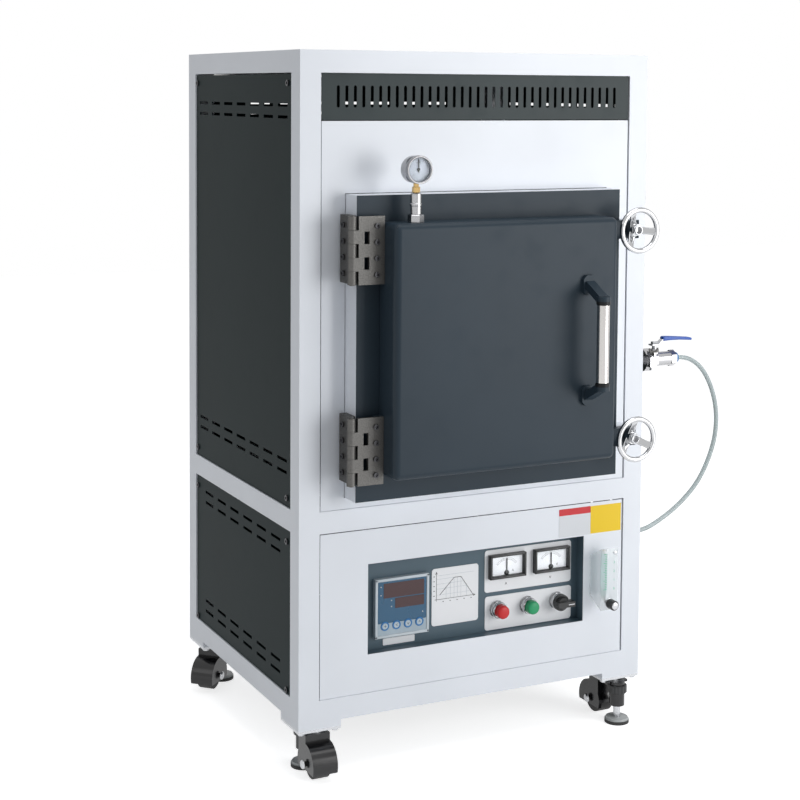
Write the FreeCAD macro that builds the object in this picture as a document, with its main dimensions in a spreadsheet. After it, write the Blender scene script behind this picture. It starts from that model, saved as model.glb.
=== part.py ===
# Vacuum furnace: a floor-standing chamber furnace in a square-tube cabinet on levelling casters.
# Cabinet axes while it is drawn: X to the right, Y from the frame's front face to the back, Z up
# from the floor. Every sub-part's Placement then shifts it, so that the origin of the finished
# furnace is the middle of its footprint, on the floor.
import FreeCAD, Part
import math
import os
import re
import Sketcher
from FreeCAD import Placement, Rotation, Vector

# Counts and turns that the pieces are made by.
KEYS = 4
KNUCKLES = 5
SPOKES = 3
ELEMENT_ROWS = 3
DIAL_SIDES = 16
UPPER_SPOKE_TURN = 5
LOWER_SPOKE_TURN = 25
METER_PLACES = ("meter_x", "meter_x + meter_pitch")
SWITCH_PLACES = ("button_x", "button_x + button_pitch", "selector_x")
HOSE_SHARE = 0.45
TOLERANCE = 1e-6

# Driving dimensions, in millimetres, degrees or counts.
DIMENSIONS = {
    # Between pieces: how far cutters run past a face, joined pieces run into each other, and
    # separate pieces stand apart
    "overshoot": 1.0,
    "bond": 1.0,
    "seat_gap": 0.3,
    "running_clearance": 0.08,
    # Square-tube frame and its foot plates
    "frame_width": 634.0,
    "frame_depth": 514.0,
    "tube": 35.0,
    "tube_wall": 2.0,
    "control_opening": 265.0,
    "chamber_opening": 682.0,
    "foot_side": 73.0,
    "foot_thickness": 10.0,
    "drain_hole": 10.0,
    "caster_height": 82.0,
    "bearer_width": 40.0,
    "bearer_inset": 95.0,
    # Sheet panels
    "panel_sheet": 1.5,
    "panel_setback": 2.0,
    "panel_gap": 2.0,
    "panel_rest": 0.3,
    "top_gap": 0.5,
    "cabinet_overlap": 23.0,
    "seam_gap": 1.5,
    "panel_fold": 12.0,
    "grille_height": 72.5,
    "grille_slots": 36,
    "grille_pitch": 14.42,
    "grille_slot_width": 5.2,
    "grille_slot_height": 34.0,
    "grille_slot_nip": 1.6,
    "louvre_length": 40.0,
    "louvre_width": 5.0,
    "louvre_row_pitch": 18.5,
    "louvre_pitch": 60.8,
    "upper_louvres": 7,
    "lower_louvre_pitch": 62.4,
    "lower_louvres": 6,
    "upper_louvre_top": 48.5,
    "upper_louvre_foot": 53.7,
    "lower_louvre_top": 22.5,
    "lower_louvre_foot": 25.2,
    # Vacuum chamber and its front flange
    "chamber_seat": 19.0,
    "flange_wide": 478.0,
    "flange_high": 476.0,
    "flange_thick": 14.0,
    "flange_reach": 38.6,
    "mouth_side": 320.0,
    "mouth_corner": 16.0,
    "shell_wall": 4.0,
    "shell_rear": 430.0,
    "fascia_clearance": 1.0,
    "groove_width": 9.0,
    "groove_depth": 6.0,
    "groove_side": 370.0,
    "seal_radius": 4.0,
    "seal_relief": 0.2,
    "lining_front": 8.0,
    "mouth_board": 32.3,
    "lining_clearance": 0.3,
    "cavity_side": 200.0,
    "cavity_depth": 300.0,
    "hearth_inset": 12.0,
    "hearth_width": 150.0,
    "hearth_length": 270.0,
    "hearth_thickness": 12.0,
    "element_radius": 5.0,
    "element_clearance": 0.6,
    "element_inset": 14.0,
    "element_pitch": 96.0,
    "element_first": 54.0,
    "element_root": 60.0,
    "element_toe": 8.0,
    "element_end": 0.2,
    "probe_radius": 4.0,
    "probe_clearance": 0.3,
    "probe_reach": 60.0,
    "probe_rise": 60.0,
    "probe_head_radius": 20.0,
    "probe_head_length": 26.0,
    # Door
    "door_wide": 400.0,
    "door_high": 394.0,
    "door_thick": 56.0,
    "door_gap": 2.0,
    "door_wall": 4.0,
    "door_corner": 10.0,
    "plug_clearance": 6.0,
    "plug_fit": 0.4,
    "plug_reach": 44.0,
    "plug_chamfer": 6.0,
    # Hinges
    "hinge_offset": 13.0,
    "hinge_ahead": 12.0,
    "hinge_spread": 155.0,
    "hinge_high": 105.0,
    "knuckle_radius": 7.0,
    "pin_radius": 4.0,
    "pin_clearance": 0.08,
    "knuckle_gap": 0.4,
    "leaf_thick": 6.0,
    "leaf_inset": 1.0,
    "leaf_rear": 4.0,
    "hinge_setback": 2.0,
    "pin_proud": 1.0,
    "leaf_window_width": 8.5,
    "leaf_window_height": 19.3,
    "leaf_window_spread": 19.6,
    "leaf_window_place": 21.7,
    "leaf_strip": 13.0,
    "hinge_rail_depth": 9.0,
    # Clamps with handwheels
    "clamp_reach": 51.0,
    "clamp_spread": 172.75,
    "lug_half": 15.0,
    "lug_thick": 14.0,
    "lug_clear": 3.4,
    "socket_thick": 24.0,
    "socket_step": 2.6,
    "stud_radius": 6.0,
    "stud_clearance": 0.1,
    "socket_clearance": 1.0,
    "stud_entry": 8.0,
    "stud_front": 1.7,
    "hub_radius": 11.0,
    "hub_length": 14.0,
    "hub_gap": 0.3,
    "wheel_radius": 34.0,
    "rim_ahead": 10.0,
    "rim_radius": 4.5,
    "rim_corner": 22.5,
    "web_thick": 5.0,
    "web_step": 3.0,
    "web_lip": 0.8,
    "hub_bevel": 1.0,
    "spoke_root": 2.5,
    "spoke_width": 12.0,
    # Door handle
    "handle_inset": 57.0,
    "handle_rise": 1.0,
    "handle_reach": 45.0,
    "grip_radius": 10.0,
    "grip_length": 150.0,
    "grip_socket": 12.0,
    "grip_collar": 1.5,
    "handle_foot_spread": 89.0,
    "foot_width": 24.0,
    "foot_height": 32.0,
    "foot_nip": 6.0,
    "foot_plate": 6.0,
    "arm_width": 16.0,
    "arm_height": 14.0,
    # Pressure gauge on the door
    "gauge_inset": 46.0,
    "gauge_rise": 81.5,
    "gauge_radius": 25.0,
    "gauge_depth": 26.0,
    "gauge_bezel": 2.5,
    "gauge_recess": 7.0,
    "gauge_front": 16.0,
    "stem_radius": 8.5,
    "stem_foot_radius": 12.0,
    "stem_foot": 17.0,
    "stem_length": 29.0,
    "nipple_radius": 6.0,
    "nipple_entry": 2.0,
    "pointer_length": 15.0,
    "pointer_tail": 5.0,
    "pointer_width": 1.6,
    "pointer_sheet": 0.6,
    "pointer_hub": 2.4,
    "pointer_gap": 1.2,
    # Instrument recess
    "window_x": 3.5,
    "window_width": 402.0,
    "window_height": 146.0,
    "window_bottom": 61.5,
    "recess_depth": 23.0,
    "tray_lip": 10.0,
    "tray_margin": 1.0,
    "cutout_fit": 0.4,
    # Temperature controller
    "controller_x": -129.5,
    "controller_rise": 65.5,
    "controller_side": 96.0,
    "controller_body": 91.0,
    "controller_depth": 70.0,
    "bezel_depth": 8.0,
    "key_radius": 4.8,
    "key_clearance": 0.3,
    "key_proud": 1.6,
    "key_depth": 5.0,
    "key_pocket": 3.6,
    "key_pitch": 20.6,
    "key_drop": 29.0,
    # Meters
    "meter_x": 66.6,
    "meter_pitch": 85.8,
    "meter_rise": 107.5,
    "meter_wide": 68.0,
    "meter_high": 40.0,
    "meter_frame": 4.0,
    "meter_pocket": 5.5,
    "meter_body_wide": 54.0,
    "meter_body_high": 34.0,
    "meter_body_depth": 32.0,
    "needle_length": 24.0,
    "needle_drop": 12.5,
    # Push buttons and selector
    "button_x": 50.0,
    "button_pitch": 57.5,
    "button_rise": 35.0,
    "switch_bore": 10.8,
    "switch_tail": 42.0,
    "collar_radius": 12.6,
    "collar_length": 13.0,
    "cap_radius": 11.0,
    "cap_clearance": 0.3,
    "cap_proud": 10.0,
    "cap_stem": 4.0,
    "switch_floor": 1.0,
    "button_room": 0.5,
    "button_stroke": 4.0,
    "knob_radius": 14.0,
    "knob_skirt": 6.0,
    "knob_grip": 14.0,
    "knob_blade": 9.0,
    "knob_nose": 4.0,
    # Flow meter
    "flow_x": 234.0,
    "flow_rise": 139.0,
    "flow_width": 36.0,
    "flow_height": 106.0,
    "flow_depth": 35.0,
    "flow_bore": 3.6,
    "flow_bore_bottom": 22.0,
    "float_radius": 3.2,
    "float_length": 9.0,
    "flow_knob_rise": 12.0,
    "flow_knob_radius": 6.5,
    "flow_knob_length": 16.0,
    "flow_spindle": 2.5,
    "flow_spindle_depth": 12.0,
    # Vacuum port, clamp and ball valve on the right side
    "port_y": 60.0,
    "port_drop": 68.5,
    "port_end": 361.0,
    "port_radius": 10.0,
    "port_bore": 8.0,
    "port_flange_radius": 15.0,
    "port_flange": 4.0,
    "port_weld": 10.0,
    "port_weld_radius": 16.0,
    "clamp_width": 14.0,
    "clamp_radius": 20.0,
    "clamp_clear": 0.4,
    "clamp_bolt_ahead": 2.0,
    "clamp_bolt_radius": 3.0,
    "clamp_bolt_reach": 15.0,
    "clamp_ear_half": 6.0,
    "clamp_ear_high": 9.0,
    "clamp_wing_half": 2.0,
    "clamp_wing_reach": 11.0,
    "valve_neck": 8.0,
    "valve_length": 49.0,
    "valve_radius": 12.5,
    "valve_nut": 10.0,
    "valve_nut_radius": 14.4,
    "ferrule_length": 8.0,
    "ferrule_radius": 6.5,
    "valve_bore": 3.0,
    "valve_stem_radius": 5.0,
    "valve_stem_place": 9.0,
    "valve_stem_rise": 38.0,
    "stem_seat": 3.0,
    "tower_rise": 6.0,
    "tower_wall": 3.0,
    "lever_reach": 78.0,
    "lever_width": 9.0,
    "lever_thick": 5.0,
    # Hose and its inlet
    "hose_radius": 4.0,
    "inlet_y": 60.0,
    "inlet_z": 312.0,
    "inlet_reach": 20.0,
    "inlet_nut": 8.0,
    "inlet_stub": 14.0,
    "inlet_radius": 9.0,
    # Mains gland at the rear
    "gland_x": -180.0,
    "gland_z": 170.0,
    "gland_radius": 14.0,
    "gland_bore": 7.0,
    "gland_reach": 22.0,
    "gland_nut": 9.0,
    "gland_step": 2.5,
    # Levelling casters
    "plate_thick": 4.0,
    "race_radius": 24.0,
    "race_height": 7.0,
    "wheel_offset": 28.0,
    "roller_radius": 25.0,
    "roller_width": 24.0,
    "roller_lift": 1.5,
    "axle_radius": 4.0,
    "axle_clearance": 0.1,
    "axle_proud": 4.0,
    "hub_wall": 5.0,
    "hub_side_gap": 0.5,
    "fork_half": 21.0,
    "cheek": 5.5,
    "hood_gap": 3.0,
    "hood_wall": 4.0,
    "hood_top": 71.0,
    "hood_skirt": 6.0,
    "pad_offset": 28.0,
    "pad_radius": 21.0,
    "pad_rubber": 6.0,
    "pad_plate": 3.0,
    "pad_step": 2.0,
    "pad_stem": 6.0,
    "pad_rise": 10.0,
    "pad_stem_spare": 1.0,
    "boss_radius": 13.0,
    "boss_bottom": 30.0,
    "dial_bottom": 52.0,
    "dial_height": 14.0,
    "dial_radius": 15.5,
    # Transformer in the lower bay
    "core_width": 120.0,
    "core_depth": 90.0,
    "core_height": 100.0,
    "core_leg": 20.0,
    "coil_margin": 2.0,
    "core_x": -60.0,
    "core_y": 280.0,
}

# Places that follow from the driving dimensions.
DERIVED = {
    "half_width": "frame_width / 2",
    "inner_half": "frame_width / 2 - tube",
    "rear_inner": "frame_depth - tube",
    "frame_bottom": "caster_height + foot_thickness",
    "control_bottom": "frame_bottom + tube",
    "mid_rail_bottom": "control_bottom + control_opening",
    "mid_rail_top": "mid_rail_bottom + tube",
    "top_rail_bottom": "mid_rail_top + chamber_opening",
    "frame_top": "top_rail_bottom + tube",
    "panel_half": "inner_half - panel_gap",
    "sheet_front": "panel_setback",
    "sheet_back": "panel_setback + panel_sheet",
    "grille_bottom": "top_rail_bottom - grille_height",
    "chamber_z": "mid_rail_top + chamber_seat + flange_high / 2",
    "flange_front": "-flange_reach",
    "flange_back": "-flange_reach + flange_thick",
    "shell_half_x": "flange_wide / 2",
    "shell_half_z": "flange_high / 2",
    "lining_half_x": "flange_wide / 2 - shell_wall - lining_clearance",
    "lining_half_z": "flange_high / 2 - shell_wall - lining_clearance",
    "cavity_half": "cavity_side / 2",
    "cavity_rear": "lining_front + cavity_depth",
    "lining_rear": "shell_rear - shell_wall - lining_clearance",
    "probe_z": "chamber_z + probe_rise",
    "door_rear": "-flange_reach - door_gap",
    "door_front": "-flange_reach - door_gap - door_thick",
    "door_plate": "door_rear - door_wall",
    "door_top": "chamber_z + door_high / 2",
    "plug_half": "mouth_side / 2 - plug_clearance",
    "hinge_x": "-(flange_wide / 2 + hinge_offset)",
    "hinge_y": "-(flange_reach + hinge_ahead)",
    "knuckle": "hinge_high / %d" % KNUCKLES,
    "clamp_x": "door_wide / 2 + clamp_reach",
    "clamp_lug_rear": "-flange_reach - lug_clear",
    "clamp_lug_front": "clamp_lug_rear - lug_thick",
    "hub_rear": "clamp_lug_front - hub_gap",
    "hub_front": "hub_rear - hub_length",
    "rim_y": "hub_front - rim_ahead",
    "rim_far": "rim_radius * cos(rim_corner)",
    "rim_near": "rim_radius * sin(rim_corner)",
    "socket_front": "-flange_reach + socket_step",
    "handle_x": "door_wide / 2 - handle_inset",
    "handle_z": "chamber_z + handle_rise",
    "grip_y": "door_front - handle_reach",
    "handle_front": "grip_y - grip_radius - grip_collar",
    "gauge_x": "gauge_inset - door_wide / 2",
    "gauge_z": "door_top + gauge_rise",
    "gauge_y": "(door_front + door_rear) / 2",
    "dial_y": "gauge_y - gauge_front + gauge_recess",
    "window_low": "control_bottom + window_bottom",
    "window_high": "window_low + window_height",
    "window_left": "window_x - window_width / 2",
    "window_right": "window_x + window_width / 2",
    "tray_face": "sheet_back + recess_depth - panel_sheet",
    "controller_z": "window_low + controller_rise",
    "key_z": "controller_z - key_drop",
    "bezel_front": "tray_face - bezel_depth",
    "meter_z": "window_low + meter_rise",
    "button_z": "window_low + button_rise",
    "selector_x": "button_x + 2 * button_pitch",
    "collar_front": "tray_face - collar_length",
    "flow_z": "control_bottom + flow_rise",
    "flow_bottom": "flow_z - flow_height / 2",
    "flow_face": "sheet_front - flow_depth",
    "port_z": "chamber_z - port_drop",
    "valve_start": "port_end + port_flange + valve_neck",
    "valve_end": "valve_start + valve_length",
    "stem_x": "valve_start + valve_stem_place",
    "lever_tip": "stem_x + lever_reach",
    "barb_end": "valve_end + ferrule_length",
    "inlet_x": "half_width - panel_setback + inlet_reach",
    "gland_tip": "frame_depth - panel_setback + gland_reach",
    "hood_reach": "wheel_offset + roller_radius + hood_gap + hood_wall + fork_half",
    "pad_stem_top": "hood_top - hood_wall - pad_rise - pad_stem_spare",
    "left_reach": "-(half_width - foot_side / 2 + hood_reach / sqrt(2))",
    "origin_x": "(lever_tip + left_reach) / 2",
    "origin_y": "(handle_front + gland_tip) / 2",
    "plate_bottom": "caster_height - plate_thick",
    "race_bottom": "plate_bottom - race_height",
    "roller_z": "roller_radius + roller_lift",
}

# Route of the hose, from the valve's barb to the inlet, in cabinet axes.
HOSE_ROUTE = [
    (430.0, 60.0, 615.5),
    (443.0, 60.0, 615.5),
    (464.0, 60.0, 608.7),
    (486.0, 60.0, 591.5),
    (505.0, 60.0, 561.0),
    (518.0, 60.0, 520.0),
    (518.5, 60.0, 474.0),
    (505.0, 60.0, 430.0),
    (480.0, 60.0, 386.0),
    (441.0, 60.0, 351.0),
    (401.0, 60.0, 327.5),
    (364.0, 60.0, 312.0),
    (335.0, 60.0, 312.0),
]

ALIAS = re.compile(r"[a-z][a-z0-9_]*")
AXIS_TURN = {
    "X": Rotation(Vector(0, 1, 0), 90),
    "Y": Rotation(Vector(1, 0, 0), -90),
    "Z": Rotation(),
}
PLANE_TURN = {
    "XY": Rotation(),
    "XZ": Rotation(Vector(1, 0, 0), 90),
    "YZ": Rotation(Vector(1, 1, 1), 120),
}

doc = FreeCAD.newDocument("vacuum_furnace")
sheet = doc.addObject("Spreadsheet::Sheet", "sizes")
for row, (alias, value) in enumerate(DIMENSIONS.items(), start=1):
    sheet.set("A%d" % row, alias)
    sheet.set("B%d" % row, "%g" % value)
    sheet.setAlias("B%d" % row, alias)
doc.recompute()
nodes = []


def spell(text):
    """Write a rule in the sheet's own aliases, with every derived place spelled out."""
    def swap(match):
        word = match.group(0)
        if word in DERIVED:
            return "(" + spell(DERIVED[word]) + ")"
        if word in DIMENSIONS:
            return "sizes." + word
        return word
    return ALIAS.sub(swap, str(text))


def size(text):
    """The value that a rule has now."""
    return float(sheet.evalExpression(spell(text)))


def bind(thing, field, text):
    """Tie one property of an object to a rule."""
    thing.setExpression(field, spell(text))


def seat(thing, x=0, y=0, z=0):
    """Tie an object's place to three rules."""
    bind(thing, "Placement.Base.x", x)
    bind(thing, "Placement.Base.y", y)
    bind(thing, "Placement.Base.z", z)


def about(middle, half):
    """The low and the high rule of a span round a middle."""
    return "(%s) - (%s)" % (middle, half), "(%s) + (%s)" % (middle, half)


def onward(start, length):
    """The low and the high rule of a span that starts at a place."""
    return start, "(%s) + (%s)" % (start, length)


def grown(span, extra):
    """A span made longer at both ends, or shorter by a rule that starts with a minus sign."""
    return "(%s) - (%s)" % (span[0], extra), "(%s) + (%s)" % (span[1], extra)


def middle_of(span):
    """The middle of a span."""
    return "((%s) + (%s)) / 2" % span


def corners_of(u, v):
    """The corners of the rectangle between two spans."""
    return [(u[0], v[0]), (u[1], v[0]), (u[1], v[1]), (u[0], v[1])]


def nipped(u, v, nip):
    """The corners of a rectangle between two spans, with each corner cut off."""
    u_in = grown(u, "-" + nip)
    v_in = grown(v, "-" + nip)
    return [(u_in[0], v[0]), (u_in[1], v[0]), (u[1], v_in[0]), (u[1], v_in[1]),
            (u_in[1], v[1]), (u_in[0], v[1]), (u[0], v_in[1]), (u[0], v_in[0])]


def box(x, y, z):
    """A box between the low and the high rule of each axis."""
    thing = doc.addObject("Part::Box", "box")
    for field, (low, high) in zip(("Length", "Width", "Height"), (x, y, z)):
        bind(thing, field, "(%s) - (%s)" % (high, low))
    seat(thing, x[0], y[0], z[0])
    return thing


def along(kind, axis, across, span, **fields):
    """A primitive that stands along an axis. across holds its other two places, in X, Y, Z order."""
    thing = doc.addObject("Part::" + kind, kind.lower())
    thing.Placement = Placement(Vector(), AXIS_TURN[axis])
    for field, text in fields.items():
        bind(thing, field, text)
    bind(thing, "Height", "(%s) - (%s)" % (span[1], span[0]))
    place = list(across)
    place.insert("XYZ".index(axis), span[0])
    seat(thing, *place)
    return thing


def rod(axis, across, span, radius):
    """A cylinder along an axis."""
    return along("Cylinder", axis, across, span, Radius=radius)


def taper(axis, across, span, radii):
    """A cone along an axis, with its radius at the low and at the high end."""
    return along("Cone", axis, across, span, Radius1=radii[0], Radius2=radii[1])


def prism(axis, across, span, radius, sides=6):
    """A straight-sided nut or dial along an axis, with its radius at the corners."""
    thing = along("Prism", axis, across, span, Circumradius=radius)
    thing.Polygon = sides
    return thing


def extruded(plane, corners, length):
    """A straight-sided outline raised along its plane's normal."""
    thing = doc.addObject("Part::Extrusion", "extruded")
    thing.Base = outline(None, plane, corners)
    thing.Dir = PLANE_TURN[plane].multVec(Vector(0, 0, 1))
    thing.Solid = True
    bind(thing, "LengthFwd", length)
    return thing


def join(*things):
    """One solid from touching or crossing solids."""
    thing = doc.addObject("Part::MultiFuse", "join")
    thing.Shapes = list(things)
    thing.Refine = True
    return thing


def cut(base, *tools):
    """A solid with other solids taken out of it."""
    thing = doc.addObject("Part::Cut", "cut")
    thing.Base = base
    thing.Tool = tools[0] if len(tools) == 1 else join(*tools)
    return thing


def group(*things):
    """Separate solids that share one sub-part."""
    thing = doc.addObject("Part::Compound", "group")
    thing.Links = list(things)
    return thing


def outline(owner, plane, *loops, level=0):
    """A sketch of closed loops with straight sides, whose corners follow pairs of rules.

    owner is a body, or None for a sketch of its own. plane is XY, XZ or YZ.
    """
    if owner is None:
        sketch = doc.addObject("Sketcher::SketchObject", "outline")
        sketch.Placement = Placement(Vector(), PLANE_TURN[plane])
    else:
        sketch = owner.newObject("Sketcher::SketchObject", "outline")
        sketch.AttachmentSupport = [(origin_plane(owner, plane), "")]
        sketch.MapMode = "FlatFace"
        bind(sketch, "AttachmentOffset.Base.z", level)
    for corners in loops:
        first = sketch.GeometryCount
        total = len(corners)
        spots = [Vector(size(u), size(v), 0) for u, v in corners]
        for index in range(total):
            sketch.addGeometry(Part.LineSegment(spots[index], spots[(index + 1) % total]), False)
        for index in range(total):
            following = first + (index + 1) % total
            sketch.addConstraint(Sketcher.Constraint("Coincident", first + index, 2, following, 1))
        for index, (u, v) in enumerate(corners):
            pin_down(sketch, first + index, 1, u, v)
    return sketch


def pin_down(sketch, geometry, point, u, v):
    """Hold one point of a sketch at two rules, measured from the sketch's origin."""
    for kind, text in (("DistanceX", u), ("DistanceY", v)):
        place = sketch.addConstraint(Sketcher.Constraint(kind, -1, 1, geometry, point, size(text)))
        sketch.setExpression("Constraints[%d]" % place, spell(text))


def origin_plane(body, plane):
    """One of a body's own origin planes."""
    for feature in body.Origin.OriginFeatures:
        if feature.Role == plane + "_Plane":
            return feature
    raise ValueError("no plane " + plane)


def new_body(name):
    """An empty body."""
    return doc.addObject("PartDesign::Body", name)


def pad(body, sketch, length, back=False):
    """Raise a sketch to a solid, along its normal or against it."""
    feature = body.newObject("PartDesign::Pad", "pad")
    feature.Profile = sketch
    bind(feature, "Length", length)
    feature.Reversed = back
    doc.recompute()
    return feature


def pocket(body, sketch, length, back=False):
    """Cut a sketch into the body, and make sure that it removed something."""
    before = body.Shape.Volume
    feature = body.newObject("PartDesign::Pocket", "pocket")
    feature.Profile = sketch
    bind(feature, "Length", length)
    feature.Reversed = back
    doc.recompute()
    if body.Shape.Volume > before - 1e-6:
        raise RuntimeError("a pocket removed nothing from " + body.Name)
    return feature


def repeat(body, feature, sketch, direction, pitch, count):
    """Repeat a feature in a row along one axis of its sketch."""
    row = body.newObject("PartDesign::LinearPattern", "row")
    row.Originals = [feature]
    row.Direction = (sketch, [direction])
    bind(row, "Length", "(%s) * ((%s) - 1)" % (pitch, count))
    bind(row, "Occurrences", count)
    body.Tip = row
    doc.recompute()
    return row


def edges_where(shape, test):
    """The names of the edges that pass a test of their two ends."""
    names = []
    for index, edge in enumerate(shape.Edges, start=1):
        if test(edge):
            names.append("Edge%d" % index)
    return names


def soften(body, feature, test, radius):
    """Round those edges of a body's last feature that pass a test."""
    smooth = body.newObject("PartDesign::Fillet", "fillet")
    smooth.Base = (feature, edges_where(feature.Shape, test))
    bind(smooth, "Radius", radius)
    doc.recompute()
    return smooth


def lies_along(edge, axis):
    """True where a straight edge runs along an axis."""
    if len(edge.Vertexes) != 2:
        return False
    run = edge.Vertexes[1].Point - edge.Vertexes[0].Point
    return abs(run.normalize().dot(axis)) > 0.999


def node(label, thing, turn=None, place=("0", "0", "0")):
    """Name a finished sub-part and shift it from cabinet axes to the furnace's own origin."""
    if thing.TypeId in ("Part::Box", "Part::Cylinder"):
        thing = group(thing)
    if turn is not None:
        thing.Placement = Placement(Vector(), Rotation(Vector(0, 0, 1), turn))
    seat(thing, "(%s) - origin_x" % place[0], "(%s) - origin_y" % place[1], place[2])
    thing.Label = label
    nodes.append(thing)
    return thing


def build_frame():
    """Posts with their foot plates, rails and the two bearers under the chamber."""
    posts = []
    for x_span, foot_x in (
        (("-half_width", "-inner_half"), ("-half_width", "-half_width + foot_side")),
        (("inner_half", "half_width"), ("half_width - foot_side", "half_width")),
    ):
        for y_span, foot_y in (
            (("0", "tube"), ("0", "foot_side")),
            (("rear_inner", "frame_depth"), ("frame_depth - foot_side", "frame_depth")),
        ):
            tube = box(x_span, y_span, ("frame_bottom", "frame_top"))
            plate = box(foot_x, foot_y, ("caster_height", "frame_bottom"))
            bore = box(grown(x_span, "-tube_wall"), grown(y_span, "-tube_wall"),
                       ("frame_bottom", "frame_top - tube_wall"))
            middle = (middle_of(x_span), middle_of(y_span))
            drain = rod("Z", middle, ("caster_height", "frame_bottom"), "drain_hole / 2")
            posts.append(cut(join(tube, plate), bore, drain))
    node("frame_posts", group(*posts))

    rails = []
    for low in ("frame_bottom", "mid_rail_bottom", "top_rail_bottom"):
        z_span = onward(low, "tube")
        for front in ("0", "rear_inner"):
            y_span = onward(front, "tube")
            outer = box(("-inner_half", "inner_half"), y_span, z_span)
            bore = box(("-inner_half", "inner_half"), grown(y_span, "-tube_wall"),
                       grown(z_span, "-tube_wall"))
            rails.append(cut(outer, bore))
        for side in ("-half_width", "inner_half"):
            x_span = onward(side, "tube")
            outer = box(x_span, ("tube", "rear_inner"), z_span)
            bore = box(grown(x_span, "-tube_wall"), ("tube", "rear_inner"), grown(z_span, "-tube_wall"))
            rails.append(cut(outer, bore))
    x_span = about("0", "inner_half + cabinet_overlap")
    z_span = onward("mid_rail_top", "chamber_seat")
    for front in ("bearer_inset", "shell_rear - bearer_inset"):
        y_span = onward(front, "bearer_width")
        bore = box(x_span, grown(y_span, "-tube_wall"), grown(z_span, "-tube_wall"))
        rails.append(cut(box(x_span, y_span, z_span), bore))
    node("frame_rails", group(*rails))


def louvred_panel(name, plane, half, z_span, level, bay):
    """A sheet with two rows of slots near its top and two near its bottom.

    half is the rule of half the sheet's width, measured from the middle of the slots. bay holds
    the distances of the outer rows from the sheet's top and bottom, the slots' pitch and count.
    """
    top_drop, foot_rise, pitch, count = bay
    body = new_body(name)
    feature = pad(body, outline(body, plane, corners_of(about("0", half), z_span), level=level),
                  "panel_sheet")
    first = "-(%s) * ((%s) - 1) / 2" % (pitch, count)
    loops = []
    for step in ("0", "louvre_row_pitch"):
        for height in ("(%s) - %s - %s" % (z_span[1], top_drop, step),
                       "(%s) + %s + %s" % (z_span[0], foot_rise, step)):
            loops.append(corners_of(about(first, "louvre_length / 2"), about(height, "louvre_width / 2")))
    rows = outline(body, plane, *loops, level=level)
    repeat(body, pocket(body, rows, "panel_sheet", back=True), rows, "H_Axis", pitch, count)
    return body


def build_panels():
    """Top, base, rear, side and front sheets."""
    top_x = about("0", "inner_half - top_gap")
    top_y = ("tube + top_gap", "rear_inner - top_gap")
    top_z = ("frame_top - panel_setback - panel_fold", "frame_top - panel_setback")
    hollow = box(grown(top_x, "-panel_sheet"), grown(top_y, "-panel_sheet"),
                 (top_z[0], top_z[1] + " - panel_sheet"))
    node("top_panel", cut(box(top_x, top_y, top_z), hollow))

    upper_z = ("mid_rail_top + panel_rest", "top_rail_bottom - panel_gap")
    lower_z = ("control_bottom + panel_rest", "mid_rail_bottom - panel_gap")
    bays = (
        ("upper", upper_z, ("upper_louvre_top", "upper_louvre_foot", "louvre_pitch", "upper_louvres")),
        ("lower", lower_z, ("lower_louvre_top", "lower_louvre_foot", "lower_louvre_pitch", "lower_louvres")),
    )
    half = "(rear_inner - tube) / 2 - panel_gap"
    sides = []
    for side, level in (("left", "-half_width + panel_setback"),
                        ("right", "half_width - panel_setback - panel_sheet")):
        for name, z_span, bay in bays:
            body = louvred_panel("side_%s_%s" % (name, side), "YZ", half, z_span, level, bay)
            seat(body, 0, "frame_depth / 2", 0)
            sides.append(body)
    wall = ("half_width - tube", "half_width")
    left_upper, left_lower, right_upper, right_lower = sides
    port_hole = rod("X", ("port_y", "port_z"), wall, "port_radius + cutout_fit")
    inlet_hole = rod("X", ("inlet_y", "inlet_z"), wall, "hose_radius + cutout_fit")
    node("side_panels",
         group(left_upper, left_lower, cut(right_upper, port_hole), cut(right_lower, inlet_hole)))

    level = "-(frame_depth - panel_setback)"
    rear_upper, rear_lower = [louvred_panel("rear_" + name, "XZ", "panel_half", z_span, level, bay)
                              for name, z_span, bay in bays]
    gland_hole = rod("Y", ("gland_x", "gland_z"), ("rear_inner", "frame_depth"), "gland_bore + cutout_fit")
    sheet_z = onward("control_bottom", "panel_sheet")
    base = box(about("0", "inner_half - panel_rest"),
               ("tube - cabinet_overlap", "rear_inner + cabinet_overlap"), sheet_z)
    wings = box(about("0", "inner_half + cabinet_overlap"),
                ("tube + panel_rest", "rear_inner - panel_rest"), sheet_z)
    node("rear_and_base_panels", group(join(base, wings), rear_upper, cut(rear_lower, gland_hole)))

    build_grille()
    x_span = about("0", "panel_half")
    sheet_y = ("sheet_front", "sheet_back")
    fascia = box(x_span, sheet_y, ("mid_rail_top + panel_rest", "grille_bottom - seam_gap"))
    mouth = box(about("0", "shell_half_x + fascia_clearance"), grown(sheet_y, "overshoot"),
                about("chamber_z", "shell_half_z + fascia_clearance"))
    node("front_fascia", cut(fascia, mouth))
    control = box(x_span, sheet_y, lower_z)
    window = box(("window_left", "window_right"), grown(sheet_y, "overshoot"), ("window_low", "window_high"))
    node("control_fascia", cut(control, window))


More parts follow.
